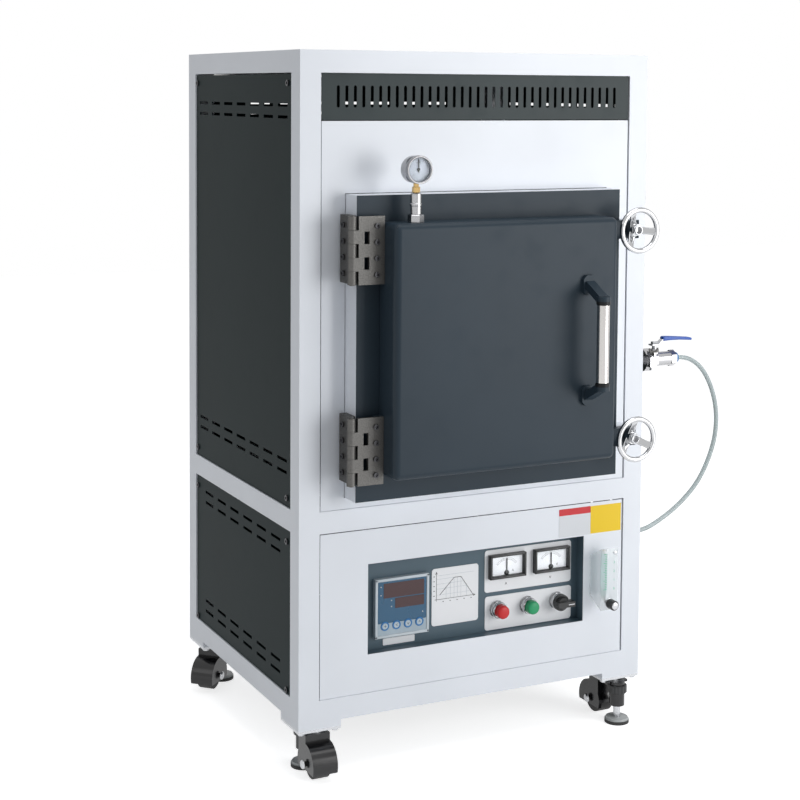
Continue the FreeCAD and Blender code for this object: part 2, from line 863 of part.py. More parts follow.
def build_grille():
    """The slotted strip under the front top rail, with a fold along its top and its bottom."""
    grille = new_body("grille")
    z_span = ("grille_bottom", "top_rail_bottom - panel_rest")
    x_span = about("0", "panel_half")
    pad(grille, outline(grille, "XZ", corners_of(x_span, z_span), level="-(sheet_back)"), "panel_sheet")
    for fold in (onward(z_span[0], "panel_sheet"), (z_span[1] + " - panel_sheet", z_span[1])):
        pad(grille, outline(grille, "XZ", corners_of(x_span, fold), level="-(sheet_back)"), "panel_fold",
            back=True)
    slot_x = about("-grille_pitch * (grille_slots - 1) / 2", "grille_slot_width / 2")
    slot_z = about("(grille_bottom + top_rail_bottom) / 2", "grille_slot_height / 2")
    slot = outline(grille, "XZ", nipped(slot_x, slot_z, "grille_slot_nip"), level="-(sheet_front)")
    repeat(grille, pocket(grille, slot, "panel_sheet"), slot, "H_Axis", "grille_pitch", "grille_slots")
    node("vent_grille", grille)


def build_instruments():
    """The recessed tray in the control fascia with its round switches."""
    window_x = ("window_left", "window_right")
    window_z = ("window_low", "window_high")
    rim = "tray_margin + panel_sheet"
    lip = box(grown(window_x, "tray_lip"), onward("sheet_back", "panel_sheet"), grown(window_z, "tray_lip"))
    walls = box(grown(window_x, rim), ("sheet_back", "tray_face + panel_sheet"), grown(window_z, rim))
    hollow = box(grown(window_x, "tray_margin"), ("0", "tray_face"), grown(window_z, "tray_margin"))
    through = grown(onward("tray_face", "panel_sheet"), "overshoot")
    half = "controller_body / 2 + cutout_fit"
    holes = [box(about("controller_x", half), through, about("controller_z", half))]
    for middle in METER_PLACES:
        holes.append(box(about(middle, "meter_body_wide / 2 + cutout_fit"), through,
                         about("meter_z", "meter_body_high / 2 + cutout_fit")))
    for middle in SWITCH_PLACES:
        holes.append(rod("Y", (middle, "button_z"), through, "switch_bore + cutout_fit"))
    node("instrument_panel", cut(join(lip, walls), hollow, *holes))

    build_controller()
    build_meters()
    floor = "tray_face - switch_floor"
    inner_end = "tray_face + switch_tail / 2"
    collars = []
    for middle in SWITCH_PLACES:
        place = (middle, "button_z")
        collar = rod("Y", place, ("collar_front", "tray_face"), "collar_radius")
        tail = rod("Y", place, onward("tray_face", "switch_tail"), "switch_bore")
        well = rod("Y", place, ("collar_front", floor), "cap_radius + cap_clearance")
        guide = rod("Y", place, (floor, inner_end), "cap_stem + running_clearance")
        collars.append(cut(join(collar, tail), well, guide))
    node("switch_bezels", group(*collars))
    cap_rear = floor + " - button_stroke - button_room"
    for name, middle in zip(("stop_button", "start_button"), SWITCH_PLACES):
        place = (middle, "button_z")
        cap = rod("Y", place, ("collar_front - cap_proud", cap_rear), "cap_radius")
        stem = rod("Y", place, (cap_rear + " - bond", inner_end + " - button_stroke - button_room"),
                   "cap_stem")
        node(name, join(cap, stem))
    knob_rear = "collar_front - hub_gap"
    knob_face = knob_rear + " - knob_skirt"
    place = ("selector_x", "button_z")
    skirt = rod("Y", place, (knob_face, knob_rear), "knob_radius")
    spindle = rod("Y", place, (knob_rear, inner_end + " - overshoot"), "cap_stem")
    blade = box(("selector_x - knob_radius", "selector_x + knob_radius + knob_nose"),
                (knob_face + " - knob_grip", knob_face), about("button_z", "knob_blade / 2"))
    node("selector_knob", join(skirt, spindle, blade))


def build_controller():
    """The temperature controller in the tray and its four keys."""
    bezel = box(about("controller_x", "controller_side / 2"), ("bezel_front", "tray_face"),
                about("controller_z", "controller_side / 2"))
    case = box(about("controller_x", "controller_body / 2"), onward("tray_face", "controller_depth"),
               about("controller_z", "controller_body / 2"))
    pockets = []
    for index in range(KEYS):
        place = ("controller_x + %g * key_pitch" % (index - (KEYS - 1) / 2), "key_z")
        pockets.append(rod("Y", place, onward("bezel_front", "key_depth + key_clearance"),
                           "key_radius + key_clearance"))
        key = rod("Y", place, ("bezel_front - key_proud", "bezel_front + key_pocket"), "key_radius")
        node("controller_key_%d" % (index + 1), key)
    node("controller_case", cut(join(bezel, case), *pockets))


def build_meters():
    """The two panel meters with their needles."""
    face = "bezel_front + meter_pocket"
    needle_y = (face + " - pointer_gap - pointer_sheet", face + " - pointer_gap")
    pivot_z = "meter_z - needle_drop"
    meters = []
    for name, middle in zip(("ammeter_needle", "voltmeter_needle"), METER_PLACES):
        front = box(about(middle, "meter_wide / 2"), ("bezel_front", "tray_face"),
                    about("meter_z", "meter_high / 2"))
        back = box(about(middle, "meter_body_wide / 2"), onward("tray_face", "meter_body_depth"),
                   about("meter_z", "meter_body_high / 2"))
        dial = box(about(middle, "meter_wide / 2 - meter_frame"), ("bezel_front", face),
                   about("meter_z", "meter_high / 2 - meter_frame"))
        meters.append(cut(join(front, back), dial))
        hub = rod("Y", (middle, pivot_z), (needle_y[0], face + " - seat_gap"), "pointer_hub")
        blade = box(about(middle, "pointer_width / 2"), needle_y, onward(pivot_z, "needle_length"))
        node(name, join(hub, blade))
    node("meter_cases", group(*meters))


def build_flow_meter():
    """The clear block of the flow meter, its float and its needle-valve knob."""
    block = box(about("flow_x", "flow_width / 2"), ("flow_face", "sheet_front"),
                onward("flow_bottom", "flow_height"))
    place = ("flow_x", "flow_face + flow_depth / 2")
    bore_bottom = "flow_bottom + flow_bore_bottom"
    bore = rod("Z", place, (bore_bottom, "flow_bottom + flow_height"), "flow_bore")
    spindle_z = "flow_bottom + flow_knob_rise"
    gland = rod("Y", ("flow_x", spindle_z), onward("flow_face", "flow_spindle_depth"),
                "flow_spindle + running_clearance")
    node("flowmeter_block", cut(block, bore, gland))
    node("flowmeter_float",
         rod("Z", place, onward(bore_bottom + " + seat_gap", "float_length"), "float_radius"))
    knob_rear = "flow_face - hub_gap"
    turner = rod("Y", ("flow_x", spindle_z), (knob_rear + " - flow_knob_length", knob_rear),
                 "flow_knob_radius")
    shaft = rod("Y", ("flow_x", spindle_z),
                (knob_rear + " - bond", "flow_face + flow_spindle_depth - overshoot"),
                "flow_spindle")
    node("flowmeter_knob", join(turner, shaft))


def square_ring(side, half_width, y_span):
    """A square ring with rounded corners round the chamber's axis, between two planes across Y."""
    body = new_body("square_ring")
    outer = "(%s) / 2 + %s" % (side, half_width)
    inner = "(%s) / 2 - %s" % (side, half_width)
    depth = "(%s) - (%s)" % (y_span[1], y_span[0])
    upright = Vector(0, 1, 0)
    face = outline(body, "XZ", corners_of(about("0", outer), about("chamber_z", outer)),
                   level="-(%s)" % y_span[1])
    soften(body, pad(body, face, depth), lambda edge: lies_along(edge, upright),
           "mouth_corner + " + half_width)
    way = outline(body, "XZ", corners_of(about("0", inner), about("chamber_z", inner)),
                  level="-(%s)" % y_span[0])
    pocket(body, way, depth)
    return body


def build_chamber():
    """Shell and flange of the vacuum chamber, with the clamps' ears and the door seal."""
    span_x = about("0", "shell_half_x")
    span_z = about("chamber_z", "shell_half_z")
    outer = box(span_x, ("flange_back", "shell_rear"), span_z)
    inner = box(grown(span_x, "-shell_wall"), ("flange_back", "shell_rear - shell_wall"),
                grown(span_z, "-shell_wall"))
    port = rod("X", ("port_y", "port_z"), ("shell_half_x - shell_wall", "shell_half_x"), "port_bore")
    probe_hole = rod("Y", ("0", "probe_z"), ("shell_rear - shell_wall", "shell_rear"),
                     "probe_radius + probe_clearance")
    node("chamber_shell", cut(outer, inner, port, probe_hole))

    plate_y = ("flange_front", "flange_back")
    mouth = box(about("0", "mouth_side / 2"), plate_y, about("chamber_z", "mouth_side / 2"))
    groove = square_ring("groove_side", "groove_width / 2", onward("flange_front", "groove_depth"))
    ears = []
    for sign in ("+", "-"):
        middle = "chamber_z %s clamp_spread" % sign
        ear_x = ("shell_half_x", "clamp_x + lug_half")
        ear_y = onward("socket_front", "socket_thick")
        low, high = about(middle, "lug_half")
        way_low, way_high = about(middle, "stud_radius + socket_clearance")
        ears.append(box(ear_x, ear_y, (low, way_low)))
        ears.append(box(ear_x, ear_y, (way_high, high)))
    node("front_flange", group(cut(box(span_x, plate_y, span_z), mouth, groove), *ears))
    seal_y = ("flange_front - door_gap + seal_relief", "flange_front + groove_depth - seat_gap")
    node("door_seal", square_ring("groove_side", "seal_radius", seal_y))


def build_lining():
    """Fibre boards, heating elements, hearth and thermocouple inside the chamber."""
    x_span = about("0", "lining_half_x")
    y_span = ("lining_front", "cavity_rear")
    z_span = about("chamber_z", "lining_half_z")
    floor_z = "chamber_z - cavity_half"
    roof_z = "chamber_z + cavity_half"
    low_sockets = []
    high_sockets = []
    rods = []
    for side in ("-", "+"):
        for index in range(ELEMENT_ROWS):
            place = ("%s(cavity_half - element_inset)" % side,
                     "lining_front + element_first + %d * element_pitch" % index)
            toe = (floor_z + " - element_toe", floor_z)
            root = (roof_z, roof_z + " + element_root")
            low_sockets.append(rod("Z", place, toe, "element_radius + element_clearance"))
            high_sockets.append(rod("Z", place, root, "element_radius + element_clearance"))
            rods.append(rod("Z", place, (toe[0] + " + element_end", root[1] + " - element_end"),
                            "element_radius"))
    mouth_y = ("lining_front - mouth_board", "lining_front")
    mouth_x = about("0", "mouth_side / 2")
    mouth_z = about("chamber_z", "mouth_side / 2")
    sill = box(x_span, mouth_y, (z_span[0], mouth_z[0]))
    lintel = box(x_span, mouth_y, (mouth_z[1], z_span[1]))
    jambs = (box((x_span[0], mouth_x[0]), mouth_y, mouth_z), box((mouth_x[1], x_span[1]), mouth_y, mouth_z))
    floor = cut(box(x_span, y_span, (z_span[0], floor_z)), *low_sockets)
    roof = cut(box(x_span, y_span, (roof_z, z_span[1])), *high_sockets)
    left = box((x_span[0], "-cavity_half"), y_span, (floor_z, roof_z))
    port_way = rod("X", ("port_y", "port_z"), ("cavity_half", "lining_half_x"), "port_bore")
    right = cut(box(("cavity_half", x_span[1]), y_span, (floor_z, roof_z)), port_way)
    probe_way = rod("Y", ("0", "probe_z"), ("cavity_rear", "lining_rear"), "probe_radius + probe_clearance")
    rear = cut(box(x_span, ("cavity_rear", "lining_rear"), z_span), probe_way)
    node("chamber_lining", group(sill, lintel, *jambs, floor, roof, left, right, rear))
    node("hearth_plate",
         box(about("0", "hearth_width / 2"), onward("lining_front + hearth_inset", "hearth_length"),
                             onward(floor_z, "hearth_thickness")))
    sheath = rod("Y", ("0", "probe_z"), ("cavity_rear - probe_reach", "shell_rear + bond"), "probe_radius")
    head = rod("Y", ("0", "probe_z"), onward("shell_rear", "probe_head_length"), "probe_head_radius")
    node("heating_elements", group(join(sheath, head), *rods))


def build_door():
    """Door shell with its lugs and hinge rails, and the insulation behind it."""
    body = new_body("door_box")
    face = corners_of(about("0", "door_wide / 2"), about("chamber_z", "door_high / 2"))
    block = pad(body, outline(body, "XZ", face, level="-(door_rear)"), "door_thick")
    front = size("door_front")
    upright = Vector(0, 1, 0)

    def front_or_corner(edge):
        on_front = all(abs(corner.Y - front) < TOLERANCE for corner in edge.Vertexes)
        return on_front or lies_along(edge, upright)

    soften(body, block, front_or_corner, "door_corner")
    inside_x = about("0", "door_wide / 2 - door_wall")
    inside_y = ("door_front + door_wall", "door_plate")
    inside_z = about("chamber_z", "door_high / 2 - door_wall")
    rear_way = box(about("0", "plug_half + plug_fit"), ("door_plate", "door_rear"),
                   about("chamber_z", "plug_half + plug_fit"))
    lugs = []
    bores = []
    for sign in ("+", "-"):
        middle = "chamber_z %s clamp_spread" % sign
        lug_y = ("clamp_lug_front", "clamp_lug_rear")
        lugs.append(box(("door_wide / 2 - door_wall / 2", "clamp_x + lug_half"), lug_y,
                        about(middle, "lug_half")))
        bores.append(rod("Y", ("clamp_x", middle), lug_y, "stud_radius + stud_clearance"))
        rail_y = onward("hinge_y - knuckle_radius + leaf_thick", "hinge_rail_depth")
        lugs.append(box(("-door_wide / 2 - leaf_strip", "-door_wide / 2 + door_wall / 2"), rail_y,
                        about("chamber_z %s hinge_spread" % sign, "hinge_high / 2")))
    node("door_shell", cut(join(body, *lugs), box(inside_x, inside_y, inside_z), rear_way, *bores))

    core = box(grown(inside_x, "-plug_fit"), grown(inside_y, "-plug_fit"), grown(inside_z, "-plug_fit"))
    neck = new_body("plug_neck")
    neck_face = corners_of(about("0", "plug_half"), about("chamber_z", "plug_half"))
    raised = pad(neck, outline(neck, "XZ", neck_face, level="-(door_rear + plug_reach)"),
                 "plug_reach + door_wall + bond")
    back = size("door_rear + plug_reach")
    bevel = neck.newObject("PartDesign::Chamfer", "chamfer")
    rear_edges = edges_where(raised.Shape,
                             lambda edge: all(abs(c.Y - back) < TOLERANCE for c in edge.Vertexes))
    bevel.Base = (raised, rear_edges)
    bind(bevel, "Size", "plug_chamfer")
    node("door_plug", join(core, neck))


def build_handle():
    """Round grip between two slanted arms, each on a foot bolted to the door."""
    pieces = []
    for sign in ("+", "-"):
        foot_z = "handle_z %s handle_foot_spread" % sign
        end_z = "handle_z %s (grip_length / 2 - grip_socket / 2)" % sign
        foot_face = nipped(about("handle_x", "foot_width / 2"), about(foot_z, "foot_height / 2"), "foot_nip")
        foot = extruded("XZ", foot_face, "foot_plate")
        seat(foot, 0, "door_front", 0)
        arm_face = [("door_front - foot_plate", "%s - arm_height / 2" % foot_z),
                    ("door_front - foot_plate", "%s + arm_height / 2" % foot_z),
                    ("grip_y", "%s + arm_height / 2" % end_z),
                    ("grip_y", "%s - arm_height / 2" % end_z)]
        arm = extruded("YZ", arm_face, "arm_width")
        seat(arm, "handle_x - arm_width / 2", 0, 0)
        cap = rod("Z", ("handle_x", "grip_y"), about(end_z, "grip_socket / 2"), "grip_radius + grip_collar")
        pieces.append(join(foot, arm, cap))
    grip = rod("Z", ("handle_x", "grip_y"), about("handle_z", "grip_length / 2 - grip_socket"), "grip_radius")
    node("door_handle", group(grip, *pieces))


def build_gauge():
    """Dial gauge on a stem on top of the door, with its pointer."""
    across = ("gauge_x", "gauge_y")
    stem_low = "door_top + stem_foot"
    stem_high = stem_low + " + stem_length"
    foot = taper("Z", across, ("door_top", stem_low), ("stem_foot_radius", "stem_radius"))
    stem = rod("Z", across, (stem_low, stem_high), "stem_radius")
    nipple = prism("Z", across, (stem_high, "gauge_z - gauge_radius + nipple_entry"), "nipple_radius")
    front = "gauge_y - gauge_front"
    case = rod("Y", ("gauge_x", "gauge_z"), onward(front, "gauge_depth"), "gauge_radius")
    dial = rod("Y", ("gauge_x", "gauge_z"), (front, "dial_y"), "gauge_radius - gauge_bezel")
    node("vacuum_gauge", cut(join(foot, stem, nipple, case), dial))
    blade_y = ("dial_y - pointer_gap - pointer_sheet", "dial_y - pointer_gap")
    hub = rod("Y", ("gauge_x", "gauge_z"), (blade_y[0], "dial_y - seat_gap"), "pointer_hub")
    blade = box(about("gauge_x", "pointer_width / 2"), blade_y,
                ("gauge_z - pointer_tail", "gauge_z + pointer_length"))
    node("gauge_pointer", join(hub, blade))


def build_hinges():
    """Two hinges: leaves on the chamber's side with their pins, and leaves on the door."""
    frame_leaves = []
    door_leaves = []
    axis = ("hinge_x", "hinge_y")
    face = "hinge_y - knuckle_radius"
    for sign in ("+", "-"):
        middle = "(chamber_z %s hinge_spread)" % sign
        z_span = about(middle, "hinge_high / 2")
        spans = []
        for index in range(KNUCKLES):
            spans.append(grown(onward(z_span[0] + " + %d * knuckle" % index, "knuckle"), "-knuckle_gap / 2"))
        pieces = [box(("-shell_half_x - hinge_offset + leaf_inset", "-shell_half_x"),
                      ("-flange_reach + hinge_setback", "-leaf_rear"), z_span)]
        for span in spans[0::2]:
            pieces.append(rod("Z", axis, span, "knuckle_radius"))
            pieces.append(box(onward("hinge_x", "knuckle_radius"),
                              ("hinge_y", "-flange_reach + hinge_setback"), span))
        frame_leaves.append(cut(join(*pieces), rod("Z", axis, z_span, "pin_radius")))
        frame_leaves.append(rod("Z", axis, grown(z_span, "pin_proud"), "pin_radius"))
        pieces = [box(("hinge_x + knuckle_radius + leaf_inset", "-door_wide / 2 - seat_gap"),
                      onward(face, "leaf_thick"),
                      z_span)]
        for span in spans[1::2]:
            pieces.append(rod("Z", axis, span, "knuckle_radius"))
            pieces.append(box(onward("hinge_x", "knuckle_radius + leaf_inset + bond"),
                              onward(face, "leaf_thick"), span))
        windows = []
        for side in ("+", "-"):
            windows.append(box(about("hinge_x + leaf_window_place", "leaf_window_width / 2"),
                               grown(onward(face, "leaf_thick"), "overshoot"),
                               about("%s %s leaf_window_spread" % (middle, side), "leaf_window_height / 2")))
        door_leaves.append(cut(join(*pieces), rod("Z", axis, z_span, "pin_radius + pin_clearance"), *windows))
    node("hinge_frame_leaves", group(*frame_leaves))
    node("hinge_door_leaves", group(*door_leaves))


def build_clamps():
    """A sliding stud and a handwheel for each of the two clamps."""
    for name, sign, turn in (("upper", "+", UPPER_SPOKE_TURN), ("lower", "-", LOWER_SPOKE_TURN)):
        middle = "chamber_z %s clamp_spread" % sign
        node("handwheel_" + name, handwheel(middle, turn))
        stud_y = ("hub_front - stud_front", "socket_front + stud_entry")
        node("clamp_stud_" + name, rod("Y", ("clamp_x", middle), stud_y, "stud_radius"))


def handwheel(middle, turn):
    """A dished wheel: hub, cone-shaped web and rim turned as one, then opened between its spokes."""
    front_edge = "hub_front + web_step"
    profile = [
        ("stud_radius + stud_clearance", "hub_front"),
        ("hub_radius - hub_bevel", "hub_front"),
        ("hub_radius", "hub_front + hub_bevel"),
        ("hub_radius", front_edge),
        ("wheel_radius - rim_far", "rim_y - rim_near"),
        ("wheel_radius - rim_near", "rim_y - rim_far"),
        ("wheel_radius + rim_near", "rim_y - rim_far"),
        ("wheel_radius + rim_far", "rim_y - rim_near"),
        ("wheel_radius + rim_far", "rim_y + rim_near"),
        ("wheel_radius + rim_near", "rim_y + rim_far"),
        ("wheel_radius - rim_near", "rim_y + rim_far"),
        ("wheel_radius - rim_far", "rim_y + rim_near"),
        ("hub_radius", front_edge + " + web_thick"),
        ("hub_radius", "hub_rear"),
        ("stud_radius + stud_clearance", "hub_rear"),
    ]
    turned = doc.addObject("Part::Revolution", "turned")
    turned.Source = outline(None, "XY", profile)
    turned.Axis = Vector(0, 1, 0)
    turned.Angle = 360
    turned.Solid = True
    seat(turned, "clamp_x", 0, middle)
    y_span = ("rim_y - rim_radius - overshoot", "hub_rear + overshoot")
    ring = cut(rod("Y", ("clamp_x", middle), y_span, "wheel_radius - rim_far - web_lip"),
               rod("Y", ("clamp_x", middle), y_span, "hub_radius + spoke_root"))
    spokes = []
    for index in range(SPOKES):
        spoke = group(box(("0", "wheel_radius"), y_span, about("0", "spoke_width / 2")))
        spoke.Placement = Placement(Vector(), Rotation(Vector(0, -1, 0), turn + index * 360 / SPOKES))
        seat(spoke, "clamp_x", 0, middle)
        spokes.append(spoke)
    return cut(turned, cut(ring, *spokes))


def build_vacuum_line():
    """Port, clamp, ball valve, lever, hose and the fittings that carry them."""
    port_axis = ("port_y", "port_z")
    inlet_axis = ("inlet_y", "inlet_z")
    gland_axis = ("gland_x", "gland_z")
    tube_x = ("shell_half_x", "port_end")
    tube = rod("X", port_axis, tube_x, "port_radius")
    weld = taper("X", port_axis, onward("shell_half_x", "port_weld"), ("port_weld_radius", "port_radius"))
    flange = rod("X", port_axis, ("port_end - port_flange", "port_end"), "port_flange_radius")
    port = cut(join(tube, weld, flange), rod("X", port_axis, tube_x, "port_bore"))
    panel_face = "half_width - panel_setback"
    spout_x = (panel_face + " - inlet_stub", "inlet_x")
    nut = prism("X", inlet_axis, onward(panel_face, "inlet_nut"), "inlet_radius")
    inlet = cut(join(nut, rod("X", inlet_axis, spout_x, "hose_radius")),
                rod("X", inlet_axis, spout_x, "valve_bore"))
    rear_face = "frame_depth - panel_setback"
    gland_y = (rear_face, "gland_tip")
    gland_nut = prism("Y", gland_axis, onward(rear_face, "gland_nut"), "gland_radius")
    gland_cap = rod("Y", gland_axis, gland_y, "gland_radius - gland_step")
    gland = cut(join(gland_nut, gland_cap), rod("Y", gland_axis, gland_y, "gland_bore"))
    node("cabinet_ports", group(port, inlet, gland))

    ring_x = about("port_end", "clamp_width / 2")
    ring = rod("X", port_axis, ring_x, "clamp_radius")
    groove = rod("X", port_axis, about("port_end", "port_flange + clamp_clear"),
                 "port_flange_radius + clamp_clear")
    way = rod("X", port_axis, ring_x, "port_radius + clamp_clear")
    bolt_y = "port_y - clamp_radius - clamp_bolt_ahead"
    bolt = rod("Z", ("port_end", bolt_y), about("port_z", "clamp_bolt_reach"), "clamp_bolt_radius")
    ear = box(about("port_end", "clamp_ear_half"), about(bolt_y, "clamp_ear_half"),
              about("port_z", "clamp_ear_high"))
    wing = box(about("port_end", "clamp_wing_half"), about(bolt_y, "clamp_wing_reach"),
               onward("port_z + clamp_ear_high + clamp_wing_half", "clamp_ear_half"))
    node("port_clamp", cut(join(ring, bolt, ear, wing), groove, way))

    face = rod("X", port_axis, onward("port_end", "port_flange"), "port_flange_radius")
    neck = rod("X", port_axis, ("port_end", "valve_start"), "port_radius")
    body = rod("X", port_axis, ("valve_start", "valve_end"), "valve_radius")
    nuts = [prism("X", port_axis, onward("valve_start", "valve_nut"), "valve_nut_radius"),
            prism("X", port_axis, ("valve_end - valve_nut", "valve_end"), "valve_nut_radius")]
    tower_z = ("port_z", "port_z + valve_radius + tower_rise")
    tower = rod("Z", ("stem_x", "port_y"), tower_z, "valve_stem_radius + tower_wall")
    ferrule = rod("X", port_axis, ("valve_end", "barb_end"), "ferrule_radius")
    through = rod("X", port_axis, ("port_end", "barb_end"), "valve_bore")
    stem_foot = "port_z + valve_bore + stem_seat"
    stem_hole = rod("Z", ("stem_x", "port_y"), (stem_foot, tower_z[1]),
                    "valve_stem_radius + running_clearance")
    node("ball_valve", cut(join(face, neck, body, *nuts, tower, ferrule), through, stem_hole))
    lever_top = "port_z + valve_stem_rise"
    stem = rod("Z", ("stem_x", "port_y"), (stem_foot + " + seat_gap", lever_top), "valve_stem_radius")
    lever = box(("stem_x - lever_width / 2", "lever_tip"), about("port_y", "lever_width / 2"),
                (lever_top + " - lever_thick", lever_top))
    node("valve_lever", join(stem, lever))

    hose = doc.addObject("Part::Feature", "hose")
    hose.Shape = hose_solid()
    node("hose", hose)


def hose_path():
    """Straight runs joined by arcs as large as their runs allow."""
    spots = [Vector(*spot) for spot in HOSE_ROUTE]
    spots[0] = Vector(size("barb_end"), size("port_y"), size("port_z"))
    spots[-1] = Vector(size("inlet_x"), size("inlet_y"), size("inlet_z"))
    pieces = []
    last = spots[0]
    for before, corner, after in zip(spots, spots[1:], spots[2:]):
        first = (corner - before).normalize()
        second = (after - corner).normalize()
        half_turn = first.getAngle(second) / 2
        reach = HOSE_SHARE * min(corner.distanceToPoint(before), corner.distanceToPoint(after))
        radius = reach / math.tan(half_turn)
        start = corner - first * reach
        end = corner + second * reach
        inward = (second - first).normalize()
        middle = corner + inward * (radius / math.cos(half_turn) - radius)
        pieces.append(Part.LineSegment(last, start).toShape())
        pieces.append(Part.Arc(start, middle, end).toShape())
        print("hose radius %.1f mm" % radius)
        last = end
    pieces.append(Part.LineSegment(last, spots[-1]).toShape())
    return Part.Wire(pieces)


def hose_solid():
    """The hose as a plain rod along its path, checked against section times length."""
    path = hose_path()
    start = path.Edges[0].Vertexes[0].Point
    ahead = path.Edges[0].Vertexes[1].Point - start
    section = Part.Wire(Part.Circle(start, ahead, size("hose_radius")).toShape())
    solid = path.makePipeShell([section], True, True)
    expected = math.pi * size("hose_radius") ** 2 * path.Length
    print("hose length %.0f mm, volume ratio %.4f" % (path.Length, solid.Volume / expected))
    return solid


def build_casters():
    """Four levelling casters: plate, swivel housing, wheel and pad."""
    left = "-half_width + foot_side / 2"
    right = "half_width - foot_side / 2"
    front = "foot_side / 2"
    rear = "frame_depth - foot_side / 2"
    places = (
        ("front_left", left, front, -90),
        ("front_right", right, front, 90),
        ("rear_left", left, rear, -135),
        ("rear_right", right, rear, 0),
    )
    plates = []
    for name, x, y, turn in places:
        plates.append(box(about(x, "foot_side / 2"), about(y, "foot_side / 2"),
                          ("plate_bottom", "caster_height")))
        node("caster_housing_" + name, caster_housing(), turn, (x, y, "0"))
        node("caster_wheel_" + name, caster_roller(), turn, (x, y, "0"))
        node("levelling_pad_" + name, caster_pad(), turn, (x, y, "0"))
    node("caster_plates", group(*plates))


def caster_housing():
    """Swivel race, hood, cheeks, axle, adjusting dial and the boss of the levelling screw.

    The wheel is towards +X.
    """
    roller_axis = ("wheel_offset", "roller_z")
    across = about("0", "fork_half")
    between = about("0", "fork_half - cheek")
    everywhere = about("0", "caster_height")
    race = rod("Z", ("0", "0"), ("race_bottom", "plate_bottom"), "race_radius")
    deck = box(("-pad_offset", "wheel_offset"), across, ("hood_top - hood_wall", "hood_top"))
    drum = rod("Y", roller_axis, across, "roller_radius + hood_gap + hood_wall")
    fill = box(("0", "wheel_offset"), across, ("roller_z", "hood_top"))
    room = rod("Y", roller_axis, between, "roller_radius + hood_gap")
    below = box(everywhere, everywhere, ("-caster_height", "roller_z - axle_radius - hood_skirt"))
    under = box(("-caster_height", "wheel_offset"), between, ("-caster_height", "roller_z"))
    above = box(everywhere, everywhere, onward("hood_top", "caster_height"))
    shell = cut(join(deck, drum, fill), room, below, under, above)
    axle = rod("Y", roller_axis, grown(across, "axle_proud"), "axle_radius")
    boss = rod("Z", ("-pad_offset", "0"), ("boss_bottom", "hood_top"), "boss_radius")
    dial = prism("Z", ("-pad_offset", "0"), onward("dial_bottom", "dial_height"), "dial_radius", DIAL_SIDES)
    bore = rod("Z", ("-pad_offset", "0"), ("boss_bottom", "hood_top - hood_wall"),
               "pad_stem + running_clearance")
    return cut(join(shell, race, axle, boss, dial), bore)


def caster_roller():
    """The wheel of one caster."""
    place = ("wheel_offset", "roller_z")
    tyre = rod("Y", place, about("0", "roller_width / 2"), "roller_radius")
    hub_y = about("0", "fork_half - cheek - hub_side_gap")
    hub = rod("Y", place, hub_y, "axle_radius + hub_wall")
    return cut(join(tyre, hub), rod("Y", place, hub_y, "axle_radius + axle_clearance"))


def caster_pad():
    """The rubber-soled pad of one caster with its screw."""
    place = ("-pad_offset", "0")
    sole = rod("Z", place, ("0", "pad_rubber"), "pad_radius")
    plate = rod("Z", place, onward("pad_rubber", "pad_plate"), "pad_radius - pad_step")
    stem = rod("Z", place, ("pad_rubber", "pad_stem_top"), "pad_stem")
    return join(sole, plate, stem)


def build_transformer():
    """Power transformer on the base panel."""
    floor = "control_bottom + panel_sheet"
    z_span = onward(floor, "core_height")
    core = box(about("core_x", "core_width / 2"), about("core_y", "core_depth / 2"), z_span)
    window_z = grown(z_span, "-core_leg")
    window_half = "core_width / 4 - core_leg / 2 - core_leg / 4"
    windows = []
    for side in ("-", "+"):
        windows.append(box(about("core_x %s (core_width / 4 - core_leg / 4)" % side, window_half),
                           about("core_y", "core_depth"), window_z))
    coil = box(about("core_x", "core_width / 2 - core_leg - coil_margin"),
               about("core_y", "core_depth / 2 + core_leg"), grown(window_z, "-coil_margin"))
    node("power_transformer", join(cut(core, *windows), coil))


def check_and_write():
    """Stop on a failed object or a bad shape, then write one file for each sub-part."""
    doc.recompute()
    for thing in doc.Objects:
        if "Invalid" in thing.State or "Error" in thing.State:
            raise RuntimeError("%s (%s) did not compute" % (thing.Name, thing.Label))
    for thing in nodes:
        if thing.Shape.isNull() or not thing.Shape.isValid() or not thing.Shape.Solids:
            raise RuntimeError("bad shape: " + thing.Label)
    os.makedirs("parts", exist_ok=True)
    for thing in nodes:
        thing.Shape.exportStep("parts/%s.step" % thing.Label)
    print("%d sub-parts written" % len(nodes))


build_frame()
build_panels()
build_instruments()
build_flow_meter()
build_chamber()
build_lining()
build_door()
build_handle()
build_gauge()
build_hinges()
build_clamps()
build_vacuum_line()
build_casters()
build_transformer()
check_and_write()
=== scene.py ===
"""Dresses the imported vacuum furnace: finishes, dials, labels, fasteners, hose, light and camera."""

import logging
import math
from dataclasses import dataclass, field
from enum import Enum
from typing import Callable, Sequence

import bpy
from mathutils import Matrix, Vector

